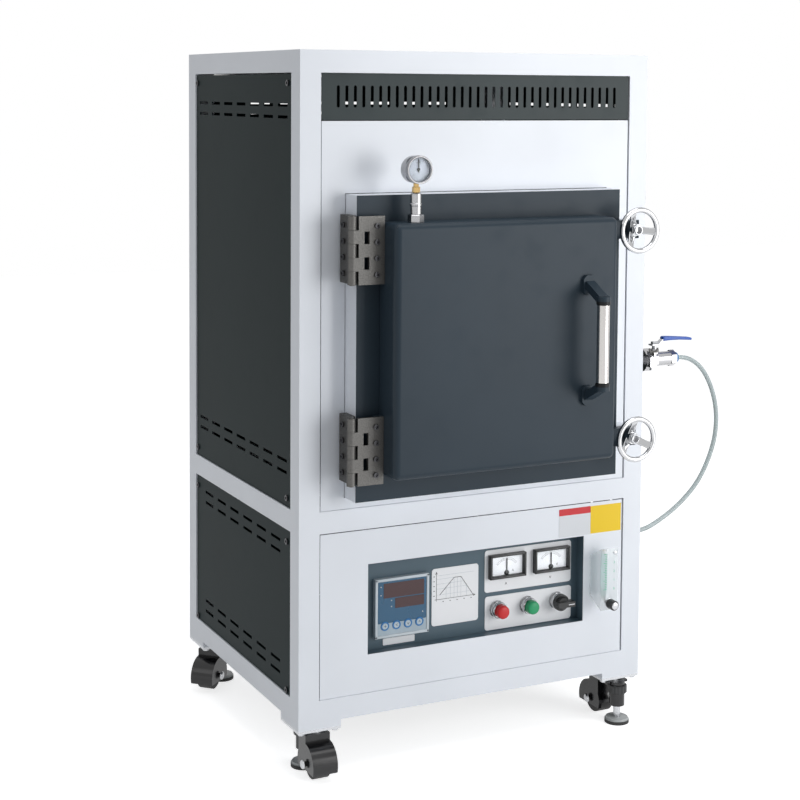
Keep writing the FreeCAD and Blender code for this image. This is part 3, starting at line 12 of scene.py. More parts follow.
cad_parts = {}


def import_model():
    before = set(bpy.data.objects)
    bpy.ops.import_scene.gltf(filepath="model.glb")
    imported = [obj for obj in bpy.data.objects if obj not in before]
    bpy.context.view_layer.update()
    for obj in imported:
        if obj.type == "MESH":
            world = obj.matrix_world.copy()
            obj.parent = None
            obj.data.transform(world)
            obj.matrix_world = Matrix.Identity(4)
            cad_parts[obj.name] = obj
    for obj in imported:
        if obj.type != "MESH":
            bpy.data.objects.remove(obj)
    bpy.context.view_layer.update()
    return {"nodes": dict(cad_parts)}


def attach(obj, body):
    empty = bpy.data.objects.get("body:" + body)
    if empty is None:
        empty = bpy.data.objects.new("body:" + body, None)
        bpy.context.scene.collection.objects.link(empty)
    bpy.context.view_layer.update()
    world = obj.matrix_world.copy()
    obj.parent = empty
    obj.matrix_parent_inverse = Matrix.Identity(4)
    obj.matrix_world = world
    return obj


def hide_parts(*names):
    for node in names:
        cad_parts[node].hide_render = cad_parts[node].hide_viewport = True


LOG = logging.getLogger("vacuum_furnace")

Pair = tuple[float, float]
Point = tuple[float, float, float]
Colour = tuple[float, float, float]
Profile = tuple[Pair, ...]
Section = tuple[float, float, float, float]
Piece = bpy.types.Object
Tree = bpy.types.ShaderNodeTree
Node = bpy.types.Node
Socket = bpy.types.NodeSocket

# Millimetres in a metre.
MM = 1000
# The furnace's own origin, seen from the middle of the frame's front face, in millimetres.
ORIGIN_X = 61.112175
ORIGIN_Y = 190.45
# A socket head's outline, as shares of its height and radius.
SCREW_HEAD = ((0.0, 1.0), (0.85, 1.0), (1.0, 0.88), (1.0, 0.5), (0.35, 0.46))
# The height of a capital letter, as a share of the text's size.
CAPITAL_SHARE = 0.7
# Rounding of the bars round a display or a dial, in millimetres.
BAR_ROUNDING = 0.9
# The smallest turn between two faces that stays sharp on rounded bars, in degrees.
SMOOTH_ANGLE = 40.0
# Vertices nearer than this become one, in metres.
WELD = 1e-6
# How far a print lies in front of its plate, in millimetres.
PRINT_LIFT = 0.12
# Where the white plates of the control fascia have their fronts, in cabinet millimetres.
PLATE_FACE = 23.9
# The line of the vacuum port and its hose, and the height of the hose's inlet, in cabinet millimetres.
PORT_DEPTH = 60.0
PORT_HEIGHT = 615.5
INLET_HEIGHT = 312.0


def at(x: float, y: float, z: float) -> Vector:
    """Turns cabinet millimetres into a point of the furnace's frame.

    Args:
        x: Distance to the right of the cabinet's middle.
        y: Distance behind the frame's front face.
        z: Height above the floor.

    Returns:
        The same point in metres, from the furnace's origin.
    """
    return Vector(((x - ORIGIN_X) / MM, (y - ORIGIN_Y) / MM, z / MM))


# Modelling by operators.


class Axis(Enum):
    """An axis that a round piece stands along."""

    X = "X"
    Y = "Y"
    Z = "Z"

    def turn(self) -> Matrix:
        """The rotation that lays a piece made along Z on this axis, pointing the positive way."""
        if self is Axis.X:
            return Matrix.Rotation(math.radians(90), 4, "Y")
        if self is Axis.Y:
            return Matrix.Rotation(math.radians(-90), 4, "X")
        return Matrix.Identity(4)


def deselect() -> None:
    """Leaves edit mode and selects nothing."""
    if bpy.context.object is not None and bpy.context.object.mode != "OBJECT":
        bpy.ops.object.mode_set(mode="OBJECT")
    bpy.ops.object.select_all(action="DESELECT")


def take(piece: Piece) -> Piece:
    """Makes one piece the only selected and active one."""
    deselect()
    piece.select_set(True)
    bpy.context.view_layer.objects.active = piece
    return piece


def settle(piece: Piece) -> Piece:
    """Puts a piece's place, turn and scale into its mesh."""
    take(piece)
    bpy.ops.object.transform_apply(location=True, rotation=True, scale=True)
    return piece


def added(name: str, scale: Point | None = None) -> Piece:
    """Names and settles the object that an operator has just added.

    Args:
        name: The object's name.
        scale: Its scale, where the operator has not set one.

    Returns:
        The object.
    """
    piece = bpy.context.object
    piece.name = name
    if scale is not None:
        piece.scale = scale
    return settle(piece)


def opened() -> None:
    """Opens the active piece in edit mode with all of it selected."""
    bpy.ops.object.mode_set(mode="EDIT")
    bpy.ops.mesh.select_all(action="SELECT")


def closed() -> None:
    """Turns the faces of the open piece outwards and leaves edit mode."""
    bpy.ops.mesh.select_all(action="SELECT")
    bpy.ops.mesh.normals_make_consistent(inside=False)
    bpy.ops.object.mode_set(mode="OBJECT")


def modified(piece: Piece, kind: str, **settings: object) -> None:
    """Applies one modifier to the active piece.

    Args:
        piece: The piece.
        kind: The modifier's type.
        settings: Values for its properties.
    """
    step = piece.modifiers.new(kind.lower(), kind)
    for title, value in settings.items():
        setattr(step, title, value)
    bpy.ops.object.modifier_apply(modifier=step.name)


def pick(piece: Piece, test: Callable[[Vector], bool]) -> None:
    """Selects vertices and stays in edit mode.

    Args:
        piece: The mesh to select in.
        test: Whether a vertex at this place is wanted.
    """
    take(piece)
    bpy.ops.object.mode_set(mode="EDIT")
    bpy.ops.mesh.select_mode(type="VERT")
    bpy.ops.mesh.select_all(action="DESELECT")
    bpy.ops.object.mode_set(mode="OBJECT")
    for corner in piece.data.vertices:
        corner.select = test(corner.co)
    bpy.ops.object.mode_set(mode="EDIT")


def soften(piece: Piece, width: float, steps: int = 2, angle: float = 30.0) -> Piece:
    """Rounds a piece's sharp edges.

    Args:
        piece: The mesh.
        width: How far from each edge the rounding starts, in millimetres.
        steps: Faces across each rounded edge.
        angle: The smallest turn between two faces that is rounded, in degrees.

    Returns:
        The same piece.
    """
    take(piece)
    modified(piece, "BEVEL", width=width / MM, segments=steps, limit_method="ANGLE",
             angle_limit=math.radians(angle))
    bpy.ops.object.shade_smooth_by_angle(angle=math.radians(SMOOTH_ANGLE))
    return piece


def slab(name: str, low: Point, high: Point, rounding: float = 0.0, steps: int = 2) -> Piece:
    """A rectangular piece between two corners in cabinet millimetres, with rounded edges.

    Args:
        name: The piece's name.
        low: Its lowest corner.
        high: Its highest corner.
        rounding: Width of the rounded edges, in millimetres.
        steps: Faces across each rounded edge.

    Returns:
        The new piece.
    """
    deselect()
    start, end = at(*low), at(*high)
    bpy.ops.mesh.primitive_cube_add(size=1, location=(start + end) / 2, scale=end - start)
    piece = added(name)
    if rounding:
        soften(piece, rounding, steps)
    return piece


def turned(name: str, place: Point, axis: Axis, steps: Profile, sides: int = 32, crease: float = 35.0,
           hollow: bool = False) -> Piece:
    """A round piece made from a circle that is extruded and scaled from station to station.

    Args:
        name: The piece's name.
        place: Where station 0 is measured from, in cabinet millimetres.
        axis: The axis that it stands along.
        steps: Pairs of distance along the axis and radius, in millimetres.
        sides: Faces round it.
        crease: The smallest turn between two faces that stays sharp, in degrees.
        hollow: Whether the stations are a closed outline that goes round an open middle.

    Returns:
        The new piece, closed at both ends unless it is hollow.
    """
    deselect()
    first, radius = steps[0]
    bpy.ops.mesh.primitive_circle_add(vertices=sides, radius=radius / MM, location=(0, 0, first / MM),
                                      fill_type="NOTHING" if hollow else "NGON")
    piece = added(name)
    opened()
    stations = [*steps, steps[0]] if hollow else steps
    for (before, old), (after, new) in zip(stations, stations[1:]):
        bpy.ops.mesh.extrude_region_move(TRANSFORM_OT_translate={"value": (0, 0, (after - before) / MM)})
        bpy.ops.transform.resize(value=(new / old, new / old, 1), center_override=(0, 0, after / MM))
    if hollow:
        bpy.ops.mesh.select_all(action="SELECT")
        bpy.ops.mesh.remove_doubles(threshold=WELD)
    closed()
    piece.matrix_world = Matrix.Translation(at(*place)) @ axis.turn()
    settle(piece)
    bpy.ops.object.shade_smooth_by_angle(angle=math.radians(crease))
    return piece


def ringed(name: str, place: Point, axis: Axis, outline: Profile, sides: int = 48,
           crease: float = 35.0) -> Piece:
    """A ring whose closed outline goes round an open middle."""
    return turned(name, place, axis, outline, sides, crease, hollow=True)


def plate(name: str, x: Pair, z: Pair, face: float, thick: float, corner: float = 0.0) -> Piece:
    """A flat plate that faces the front, with rounded corners.

    Args:
        name: The plate's name.
        x: Its left and right edge, in cabinet millimetres.
        z: Its lower and upper edge.
        face: Where its front lies.
        thick: Its thickness.
        corner: Radius of its corners.

    Returns:
        The new plate.
    """
    deselect()
    middle = at((x[0] + x[1]) / 2, face, (z[0] + z[1]) / 2)
    bpy.ops.mesh.primitive_plane_add(size=1, location=middle, rotation=(math.radians(90), 0, 0))
    piece = added(name, ((x[1] - x[0]) / MM, (z[1] - z[0]) / MM, 1))
    if corner:
        modified(piece, "BEVEL", affect="VERTICES", width=corner / MM, segments=6)
    modified(piece, "SOLIDIFY", thickness=thick / MM, offset=-1)
    return piece


def stroke(name: str, start: Pair, end: Pair, width: float, face: float, thick: float = 0.15) -> Piece:
    """One printed line between two places on a plane that faces the front.

    Args:
        name: The line's name.
        start: Its start, as X and Z in cabinet millimetres.
        end: Its end.
        width: Its width.
        face: Where its front lies.
        thick: Thickness of the print.

    Returns:
        The new line.
    """
    run = math.hypot(end[0] - start[0], end[1] - start[1])
    lean = math.atan2(end[1] - start[1], end[0] - start[0])
    deselect()
    middle = at((start[0] + end[0]) / 2, face + thick / 2, (start[1] + end[1]) / 2)
    bpy.ops.mesh.primitive_cube_add(size=1, location=middle, rotation=(0, -lean, 0),
                                    scale=((run + width) / MM, thick / MM, width / MM))
    return added(name)


def bolt(name: str, place: Point, axis: Axis, radius: float, rise: float, side: int = 1) -> Piece:
    """A socket-head screw that stands out of a face.

    Args:
        name: The screw's name.
        place: Where its axis meets the face, in cabinet millimetres.
        axis: The axis that it stands along.
        radius: Radius of its head.
        rise: Height of its head.
        side: 1 where it stands towards the axis's positive side, otherwise -1.

    Returns:
        The new screw head.
    """
    steps = tuple((side * rise * along, radius * out) for along, out in SCREW_HEAD)
    return turned(name, place, axis, steps, sides=18)


def joined(name: str, pieces: Sequence[Piece]) -> Piece:
    """Makes one object from several.

    Args:
        name: The new object's name.
        pieces: The objects that it is made of.

    Returns:
        The new object.
    """
    deselect()
    for piece in pieces:
        piece.select_set(True)
    bpy.context.view_layer.objects.active = pieces[0]
    bpy.ops.object.join()
    whole = bpy.context.object
    whole.name = name
    whole.data.name = name
    return whole


def lettering(name: str, text: str, place: Point, height: float, lift: float = 0.15) -> Piece:
    """Flat printed characters that face the front.

    Args:
        name: The piece's name.
        text: What it reads.
        place: The middle of the text, in cabinet millimetres.
        height: Height of its capitals, in millimetres.
        lift: Thickness of the print, in millimetres.

    Returns:
        The print as a mesh.
    """
    deselect()
    bpy.ops.object.text_add()
    piece = bpy.context.object
    piece.name = name
    piece.data.body = text
    piece.data.size = height / MM / CAPITAL_SHARE
    piece.data.align_x = "CENTER"
    piece.data.align_y = "CENTER"
    piece.data.extrude = lift / 2 / MM
    piece.data.resolution_u = 3
    bpy.ops.object.convert(target="MESH")
    piece = bpy.context.object
    piece.matrix_world = Matrix.Translation(at(*place)) @ Matrix.Rotation(math.radians(90), 4, "X")
    return settle(piece)


# Finishes.


def group_tree(name: str, inputs: Sequence[tuple[str, float]],
               outputs: Sequence[str]) -> tuple[Tree, Node, Node, Socket]:
    """An empty shader group with number inputs and outputs.

    Args:
        name: The group's name.
        inputs: Names and starting values of its inputs.
        outputs: Names of its outputs.

    Returns:
        The group, its input node, its output node and the place on the piece.
    """
    tree = bpy.data.node_groups.new(name, "ShaderNodeTree")
    for title, value in inputs:
        socket = tree.interface.new_socket(name=title, in_out="INPUT", socket_type="NodeSocketFloat")
        socket.default_value = value
    for title in outputs:
        tree.interface.new_socket(name=title, in_out="OUTPUT", socket_type="NodeSocketFloat")
    source, target = tree.nodes.new("NodeGroupInput"), tree.nodes.new("NodeGroupOutput")
    return tree, source, target, tree.nodes.new("ShaderNodeTexCoord").outputs["Object"]


def noise(tree: Tree, place: Socket, scale: float | Socket, detail: float = 3.0,
          stretch: Point = (1, 1, 1)) -> Socket:
    """A noise pattern.

    Args:
        tree: The nodes that it joins.
        place: The place that it is read at.
        scale: How fine it is.
        detail: How many finer layers it has.
        stretch: Factors along its axes.

    Returns:
        The pattern's value.
    """
    mapping = tree.nodes.new("ShaderNodeMapping")
    mapping.inputs["Scale"].default_value = stretch
    tree.links.new(place, mapping.inputs["Vector"])
    pattern = tree.nodes.new("ShaderNodeTexNoise")
    pattern.inputs["Detail"].default_value = detail
    tree.links.new(mapping.outputs["Vector"], pattern.inputs["Vector"])
    if isinstance(scale, Socket):
        tree.links.new(scale, pattern.inputs["Scale"])
    else:
        pattern.inputs["Scale"].default_value = scale
    return pattern.outputs["Fac"]


def spread(tree: Tree, value: Socket, source: Pair, target: Pair) -> Socket:
    """Stretches a value from one range to another, and holds it there.

    Args:
        tree: The nodes that it joins.
        value: The value.
        source: Where the value runs from and to.
        target: What it becomes there.

    Returns:
        The new value.
    """
    reach = tree.nodes.new("ShaderNodeMapRange")
    for title, number in zip(("From Min", "From Max", "To Min", "To Max"), (*source, *target)):
        reach.inputs[title].default_value = number
    tree.links.new(value, reach.inputs["Value"])
    return reach.outputs["Result"]


def combine(tree: Tree, operation: str, first: Socket, second: Socket | float) -> Socket:
    """One arithmetic step on two values.

    Args:
        tree: The nodes that it joins.
        operation: The step's name.
        first: The first value.
        second: The second value.

    Returns:
        The result.
    """
    step = tree.nodes.new("ShaderNodeMath")
    step.operation = operation
    tree.links.new(first, step.inputs[0])
    if isinstance(second, Socket):
        tree.links.new(second, step.inputs[1])
    else:
        step.inputs[1].default_value = second
    return step.outputs["Value"]


class Effects:
    """The shader groups that several finishes share."""

    _made: dict[str, Tree] = {}

    @classmethod
    def named(cls, name: str) -> Tree:
        """A shared group, built the first time that it is asked for."""
        if name not in cls._made:
            cls._made[name] = getattr(cls, "_" + name)()
        return cls._made[name]

    @staticmethod
    def _coat_skin() -> Tree:
        """Fine orange peel and a slow, faint cloudiness, as sprayed powder has."""
        scales = (("Peel Scale", 900.0), ("Cloud Scale", 5.0))
        tree, source, target, place = group_tree("coat_skin", scales, ("Height", "Cloud"))
        peel = noise(tree, place, source.outputs["Peel Scale"], 2.0)
        cloud = noise(tree, place, source.outputs["Cloud Scale"], 4.0)
        tree.links.new(peel, target.inputs["Height"])
        tree.links.new(spread(tree, cloud, (0.3, 0.7), (0.0, 1.0)), target.inputs["Cloud"])
        return tree

    @staticmethod
    def _hand_dust() -> Tree:
        """A mask of faint smudges and specks."""
        tree, source, target, place = group_tree("hand_dust", (("Scale", 30.0), ("Amount", 0.3)), ("Mask",))
        smear = spread(tree, noise(tree, place, source.outputs["Scale"], 5.0), (0.52, 0.72), (0.0, 1.0))
        specks = spread(tree, noise(tree, place, 700.0, 1.0), (0.68, 0.74), (0.0, 1.0))
        both = combine(tree, "MAXIMUM", smear, specks)
        tree.links.new(combine(tree, "MULTIPLY", both, source.outputs["Amount"]), target.inputs["Mask"])
        return tree

    @staticmethod
    def _fine_lines() -> Tree:
        """Fine scratches that run along one axis of the piece, as brushing and turning leave."""
        weighting = (("X", 1.0), ("Y", 1.0), ("Z", 1.0), ("Scale", 500.0))
        tree, source, target, place = group_tree("fine_lines", weighting, ("Lines",))
        weights = tree.nodes.new("ShaderNodeCombineXYZ")
        for title in "XYZ":
            tree.links.new(source.outputs[title], weights.inputs[title])
        product = tree.nodes.new("ShaderNodeVectorMath")
        product.operation = "MULTIPLY"
        tree.links.new(place, product.inputs[0])
        tree.links.new(weights.outputs["Vector"], product.inputs[1])
        lines = noise(tree, product.outputs["Vector"], source.outputs["Scale"], 4.0)
        tree.links.new(lines, target.inputs["Lines"])
        return tree

    @staticmethod
    def _inside_box() -> Tree:
        """A mask of what lies between two corners."""
        limits = tuple((side + " " + title, 0.0) for side in ("Low", "High") for title in "XYZ")
        tree, source, target, place = group_tree("inside_box", limits, ("Mask",))
        parts = tree.nodes.new("ShaderNodeSeparateXYZ")
        tree.links.new(place, parts.inputs["Vector"])
        whole = None
        for title in "XYZ":
            above = combine(tree, "GREATER_THAN", parts.outputs[title], source.outputs["Low " + title])
            below = combine(tree, "LESS_THAN", parts.outputs[title], source.outputs["High " + title])
            both = combine(tree, "MULTIPLY", above, below)
            whole = both if whole is None else combine(tree, "MULTIPLY", whole, both)
        tree.links.new(whole, target.inputs["Mask"])
        return tree

    @staticmethod
    def _fibre_mat() -> Tree:
        """Lumpy pressed fibre: wide lumps, short fibres and small pits."""
        tree, source, target, place = group_tree("fibre_mat", (("Scale", 60.0),), ("Height", "Shade"))
        lumps = noise(tree, place, source.outputs["Scale"], 6.0)
        fibres = noise(tree, place, 900.0, 3.0, (1.0, 0.15, 1.0))
        height = combine(tree, "ADD", lumps, combine(tree, "MULTIPLY", fibres, 0.35))
        tree.links.new(height, target.inputs["Height"])
        tree.links.new(spread(tree, lumps, (0.35, 0.65), (0.0, 1.0)), target.inputs["Shade"])
        return tree


@dataclass(frozen=True)
class Finish:
    """What every surface finish has: a name, a colour that varies a little and a material slot."""

    name: str
    colour: Colour
    slot: str = field(default="steel", kw_only=True)

    def material(self) -> bpy.types.Material:
        """The finish as a Blender material, made once."""
        found = bpy.data.materials.get(self.name)
        if found is not None:
            return found
        made = bpy.data.materials.new(self.name)
        made.use_nodes = True
        self.dress(made.node_tree, made.node_tree.nodes["Principled BSDF"])
        return made

    def dress(self, tree: Tree, shader: Node) -> None:
        """Sets the shader of a new material."""
        raise NotImplementedError

    def shaded(self, tree: Tree, shader: Node, mask: Socket, other: Colour) -> None:
        """Mixes the colour with another one under a mask.

        Args:
            tree: The material's nodes.
            shader: Its Principled node.
            mask: Where the other colour shows.
            other: The colour that shows there.
        """
        mix = tree.nodes.new("ShaderNodeMix")
        mix.data_type = "RGBA"
        mix.inputs["A"].default_value = (*self.colour, 1)
        mix.inputs["B"].default_value = (*other, 1)
        tree.links.new(mask, mix.inputs["Factor"])
        tree.links.new(mix.outputs["Result"], shader.inputs["Base Color"])

    @staticmethod
    def glossed(tree: Tree, shader: Node, pattern: Socket, target: Pair, source: Pair = (0.0, 1.0)) -> None:
        """Lets a pattern lead the roughness from one value to another."""
        tree.links.new(spread(tree, pattern, source, target), shader.inputs["Roughness"])

    @staticmethod
    def bumped(tree: Tree, shader: Node, height: Socket, depth: float) -> None:
        """Lets a pattern stand out of the surface.

        Args:
            tree: The material's nodes.
            shader: Its Principled node.
            height: The pattern.
            depth: How far it stands out, in millimetres.
        """
        bump = tree.nodes.new("ShaderNodeBump")
        bump.inputs["Strength"].default_value = 1.0
        bump.inputs["Distance"].default_value = depth / MM
        tree.links.new(height, bump.inputs["Height"])
        tree.links.new(bump.outputs["Normal"], shader.inputs["Normal"])


def effect(tree: Tree, name: str, **values: float) -> Node:
    """Places a shared effect in a material.

    Args:
        tree: The material's nodes.
        name: The effect's name.
        values: What its inputs are set to.

    Returns:
        The effect's node.
    """
    node = tree.nodes.new("ShaderNodeGroup")
    node.node_tree = Effects.named(name)
    for title, value in values.items():
        node.inputs[title.replace("_", " ")].default_value = value
    return node


def tinted(colour: Colour, factor: float) -> Colour:
    """A colour made lighter or darker by a factor."""
    return tuple(min(1.0, part * factor) for part in colour)


@dataclass(frozen=True)
class PowderCoat(Finish):
    """Sprayed and baked paint on sheet or tube."""

    roughness: float = 0.35
    peel: float = 0.02
    cloud: float = 0.06
    dust: float = 0.15
    shine: float = 0.5

    def dress(self, tree: Tree, shader: Node) -> None:
        """Sets orange peel, slow cloudiness and faint smudges."""
        shader.inputs["Specular IOR Level"].default_value = self.shine
        skin = effect(tree, "coat_skin")
        dust = effect(tree, "hand_dust", Amount=self.dust)
        self.shaded(tree, shader, skin.outputs["Cloud"], tinted(self.colour, 1 - self.cloud))
        self.glossed(tree, shader, dust.outputs["Mask"], (self.roughness, min(1.0, self.roughness + 0.35)))
        self.bumped(tree, shader, skin.outputs["Height"], self.peel)


@dataclass(frozen=True)
class Metal(Finish):
    """Bare or plated metal with fine lines along one axis."""

    roughness: float = 0.25
    line: Point = (1.0, 1.0, 1.0)
    contrast: float = 0.12
    depth: float = 0.004

    def dress(self, tree: Tree, shader: Node) -> None:
        """Sets a metal with lines in its gloss and colour."""
        shader.inputs["Metallic"].default_value = 1.0
        lines = effect(tree, "fine_lines", X=self.line[0], Y=self.line[1], Z=self.line[2])
        self.shaded(tree, shader, lines.outputs["Lines"], tinted(self.colour, 1 - self.contrast))
        low, high = max(0.03, self.roughness - self.contrast / 2), self.roughness + self.contrast / 2
        self.glossed(tree, shader, lines.outputs["Lines"], (low, high), (0.3, 0.7))
        self.bumped(tree, shader, lines.outputs["Lines"], self.depth)


@dataclass(frozen=True)
class Moulded(Finish):
    """Moulded plastic or rubber."""

    slot: str = field(default="plastic_black", kw_only=True)
    roughness: float = 0.4
    grain: float = 0.01
    dust: float = 0.25
    pale: float = 1.25

    def dress(self, tree: Tree, shader: Node) -> None:
        """Sets a fine grain and faint dust."""
        skin = effect(tree, "coat_skin", Peel_Scale=1600.0, Cloud_Scale=25.0)
        dust = effect(tree, "hand_dust", Scale=60.0, Amount=self.dust)
        self.shaded(tree, shader, dust.outputs["Mask"], tinted(self.colour, self.pale))
        self.glossed(tree, shader, skin.outputs["Cloud"], (self.roughness, min(1.0, self.roughness + 0.12)))
        self.bumped(tree, shader, skin.outputs["Height"], self.grain)


@dataclass(frozen=True)
class Clear(Finish):
    """Clear plastic or glass."""

    slot: str = field(default="clear_acrylic", kw_only=True)
    roughness: float = 0.06
    density: float = 1.0
    index: float = 1.46

    def dress(self, tree: Tree, shader: Node) -> None:
        """Sets a clear body with faint smears in its gloss."""
        shader.inputs["Transmission Weight"].default_value = self.density
        shader.inputs["IOR"].default_value = self.index
        skin = effect(tree, "coat_skin", Peel_Scale=200.0, Cloud_Scale=12.0)
        self.shaded(tree, shader, skin.outputs["Cloud"], tinted(self.colour, 0.97))
        self.glossed(tree, shader, skin.outputs["Cloud"], (self.roughness * 0.6, self.roughness))


@dataclass(frozen=True)
class Fibre(Finish):
    """Pressed ceramic fibre or fired ceramic."""

    scale: float = 60.0
    depth: float = 0.5

    def dress(self, tree: Tree, shader: Node) -> None:
        """Sets a dull, lumpy surface."""
        mat = effect(tree, "fibre_mat", Scale=self.scale)
        shader.inputs["Roughness"].default_value = 0.95
        self.shaded(tree, shader, mat.outputs["Shade"], tinted(self.colour, 0.88))
        self.bumped(tree, shader, mat.outputs["Height"], self.depth)


@dataclass(frozen=True)
class Patch:
    """A box of a node, in cabinet millimetres, that has a finish of its own."""

    finish: Finish
    low: Point
    high: Point


@dataclass(frozen=True)
class Patched(Finish):
    """One finish over most of a node, and others inside boxes."""

    base: Finish
    patches: tuple[Patch, ...]

    def dress(self, tree: Tree, shader: Node) -> None:
        """Sets the base finish and lays each patch over it."""
        self.base.dress(tree, shader)
        for patch in self.patches:
            low, high = at(*patch.low), at(*patch.high)
            mask = effect(tree, "inside_box", Low_X=low.x, Low_Y=low.y, Low_Z=low.z,
                          High_X=high.x, High_Y=high.y, High_Z=high.z)
            spare = tree.nodes.new("ShaderNodeBsdfPrincipled")
            patch.finish.dress(tree, spare)
            for title in ("Base Color", "Roughness", "Metallic", "Normal"):
                self.laid_over(tree, shader.inputs[title], spare.inputs[title], mask.outputs["Mask"])
            tree.nodes.remove(spare)

    @staticmethod
    def laid_over(tree: Tree, under: Socket, over: Socket, mask: Socket) -> None:
        """Mixes one socket of the base with the same socket of a patch.

        Args:
            tree: The material's nodes.
            under: The base's socket, which takes the result.
            over: The patch's socket.
            mask: Where the patch shows.
        """
        if not under.is_linked and not over.is_linked and under.default_value == over.default_value:
            return
        mix = tree.nodes.new("ShaderNodeMix")
        mix.data_type = {"RGBA": "RGBA", "VECTOR": "VECTOR", "VALUE": "FLOAT"}[under.type]
        sockets = [socket for socket in mix.inputs if socket.enabled]
        for socket, source in zip(sockets[1:3], (under, over)):
            if source.is_linked:
                tree.links.new(source.links[0].from_socket, socket)
            else:
                socket.default_value = source.default_value
        tree.links.new(mask, sockets[0])
        tree.links.new(next(socket for socket in mix.outputs if socket.enabled), under)


WHITE_COAT = PowderCoat("white_coat", (0.79, 0.82, 0.87), roughness=0.32)
# Painted shade: a near-black coat that stands for the shade inside the cabinet.
INSIDE_SHADE = PowderCoat("bare_sheet", (0.035, 0.035, 0.038), roughness=0.55, cloud=0.2)
SLATE_COAT = PowderCoat("slate_coat", (0.022, 0.034, 0.036), roughness=0.45, peel=0.03, cloud=0.2,
                        shine=0.25)
# Painted shade: a darker, less shiny copy of the slate coat on the side, rear and base panels, standing for
# the shade on the cabinet's sides.
SHADED_SIDE_COAT = PowderCoat("side_coat", (0.006, 0.015, 0.016), roughness=0.45, peel=0.03, cloud=0.15,
                       dust=0.03, shine=0.05)
DOOR_COAT = PowderCoat("door_coat", (0.022, 0.036, 0.050), roughness=0.40, peel=0.04, cloud=0.15, shine=0.2)
TRAY_COAT = PowderCoat("tray_coat", (0.070, 0.112, 0.142), roughness=0.4, cloud=0.1, shine=0.35)
BRUSHED = Metal("brushed_steel", (0.44, 0.445, 0.455), roughness=0.28, line=(0.05, 1.0, 1.0))
POLISHED = Metal("polished_steel", (0.62, 0.60, 0.58), roughness=0.16, line=(1.0, 1.0, 0.03),
                 contrast=0.05, depth=0.001)
TURNED_STEEL = Metal("turned_steel", (0.46, 0.46, 0.47), roughness=0.22, contrast=0.06)
CHROME = Metal("polished_chrome", (0.50, 0.505, 0.515), roughness=0.09, contrast=0.03, depth=0.001,
               slot="chrome")
CAST_ALLOY = Metal("cast_alloy", (0.135, 0.132, 0.127), roughness=0.52, contrast=0.3, depth=0.05)
BEZEL_STEEL = Metal("bezel_steel", (0.30, 0.30, 0.31), roughness=0.2, contrast=0.06, slot="chrome")
BRASS = Metal("turned_brass", (0.70, 0.48, 0.20), roughness=0.25, line=(1.0, 1.0, 0.1), slot="brass")
BLACK_PLASTIC = Moulded("black_plastic", (0.009, 0.010, 0.011), roughness=0.30, dust=0.3, pale=1.6)
GLOSS_BLACK = Moulded("gloss_black", (0.006, 0.006, 0.007), roughness=0.14, dust=0.15, pale=1.6)
GREY_PLASTIC = Moulded("grey_plastic", (0.48, 0.50, 0.50), roughness=0.35, slot="plastic_white")
PALE_KEY = Moulded("pale_key", (0.42, 0.50, 0.56), roughness=0.3)
RED_CAP = Moulded("red_cap", (0.52, 0.004, 0.006), roughness=0.38, dust=0.02, pale=1.1, slot="plastic_red")
GREEN_CAP = Moulded("green_cap", (0.002, 0.27, 0.10), roughness=0.38, dust=0.02, pale=1.1,
                    slot="plastic_green")
LEVER_BLUE = Moulded("lever_blue", (0.02, 0.09, 0.42), roughness=0.3, dust=0.1, slot="plastic_blue")
SEAL_RUBBER = Moulded("seal_rubber", (0.16, 0.035, 0.025), roughness=0.6)
TYRE_RUBBER = Moulded("wheel_rubber", (0.02, 0.02, 0.02), roughness=0.55, dust=0.6, pale=3.0)
SOLE_RUBBER = Moulded("sole_rubber", (0.03, 0.03, 0.03), roughness=0.7, dust=0.5, pale=2.0)
DIAL_PRINT = Moulded("dial_print", (0.50, 0.54, 0.60), roughness=0.4, dust=0.06, pale=0.95,
                     slot="plastic_white")
LINING = Fibre("lining_board", (0.80, 0.77, 0.70))
HEARTH = Fibre("hearth_tile", (0.62, 0.57, 0.48), scale=90.0, depth=0.2)
ELEMENT = Fibre("heating_rod", (0.10, 0.095, 0.09), scale=200.0, depth=0.15)
VARNISHED_IRON = PowderCoat("varnished_iron", (0.07, 0.06, 0.05), roughness=0.3, cloud=0.3)
ACRYLIC = Clear("clear_acrylic", (0.96, 0.98, 0.99), density=0.92)
TUBE_TINT = Clear("tube_tint", (0.55, 0.80, 0.78), roughness=0.1, density=0.6)
DIAL_GLASS = Clear("dial_glass", (0.97, 0.98, 0.99), roughness=0.02, index=1.1)
HOSE_WALL = Clear("clear_hose", (0.50, 0.565, 0.57), roughness=0.25, density=0.55, index=1.4,
                  slot="hose_rubber")
PRINT_WHITE = Moulded("printed_white", (0.82, 0.83, 0.85), roughness=0.4, dust=0.06, pale=0.9,
                      slot="plastic_white")
LABEL_WHITE = Moulded("label_white", (0.66, 0.68, 0.71), roughness=0.35, dust=0.06, pale=0.95,
                      slot="plastic_white")
PRINT_BLACK = Moulded("printed_black", (0.02, 0.02, 0.022), roughness=0.5, dust=0.1)
PRINT_RED = Moulded("printed_red", (0.56, 0.012, 0.018), roughness=0.45, dust=0.05, slot="plastic_red")
PRINT_YELLOW = Moulded("printed_yellow", (0.83, 0.56, 0.002), roughness=0.45, dust=0.05, pale=0.9,
                       slot="plastic_white")
PALE_BEZEL = Moulded("pale_bezel", (0.52, 0.58, 0.62), roughness=0.35, slot="plastic_white")
STRIP_GREY = Moulded("strip_grey", (0.34, 0.42, 0.48), roughness=0.4, slot="plastic_white")
FACE_BLUE = Moulded("face_blue", (0.012, 0.085, 0.17), roughness=0.22, dust=0.05, slot="plastic_blue")
RING_BLUE = Moulded("ring_blue", (0.02, 0.16, 0.40), roughness=0.4, dust=0.05, slot="plastic_blue")
DISPLAY_RED = Moulded("display_red", (0.045, 0.010, 0.012), roughness=0.08, dust=0.03)
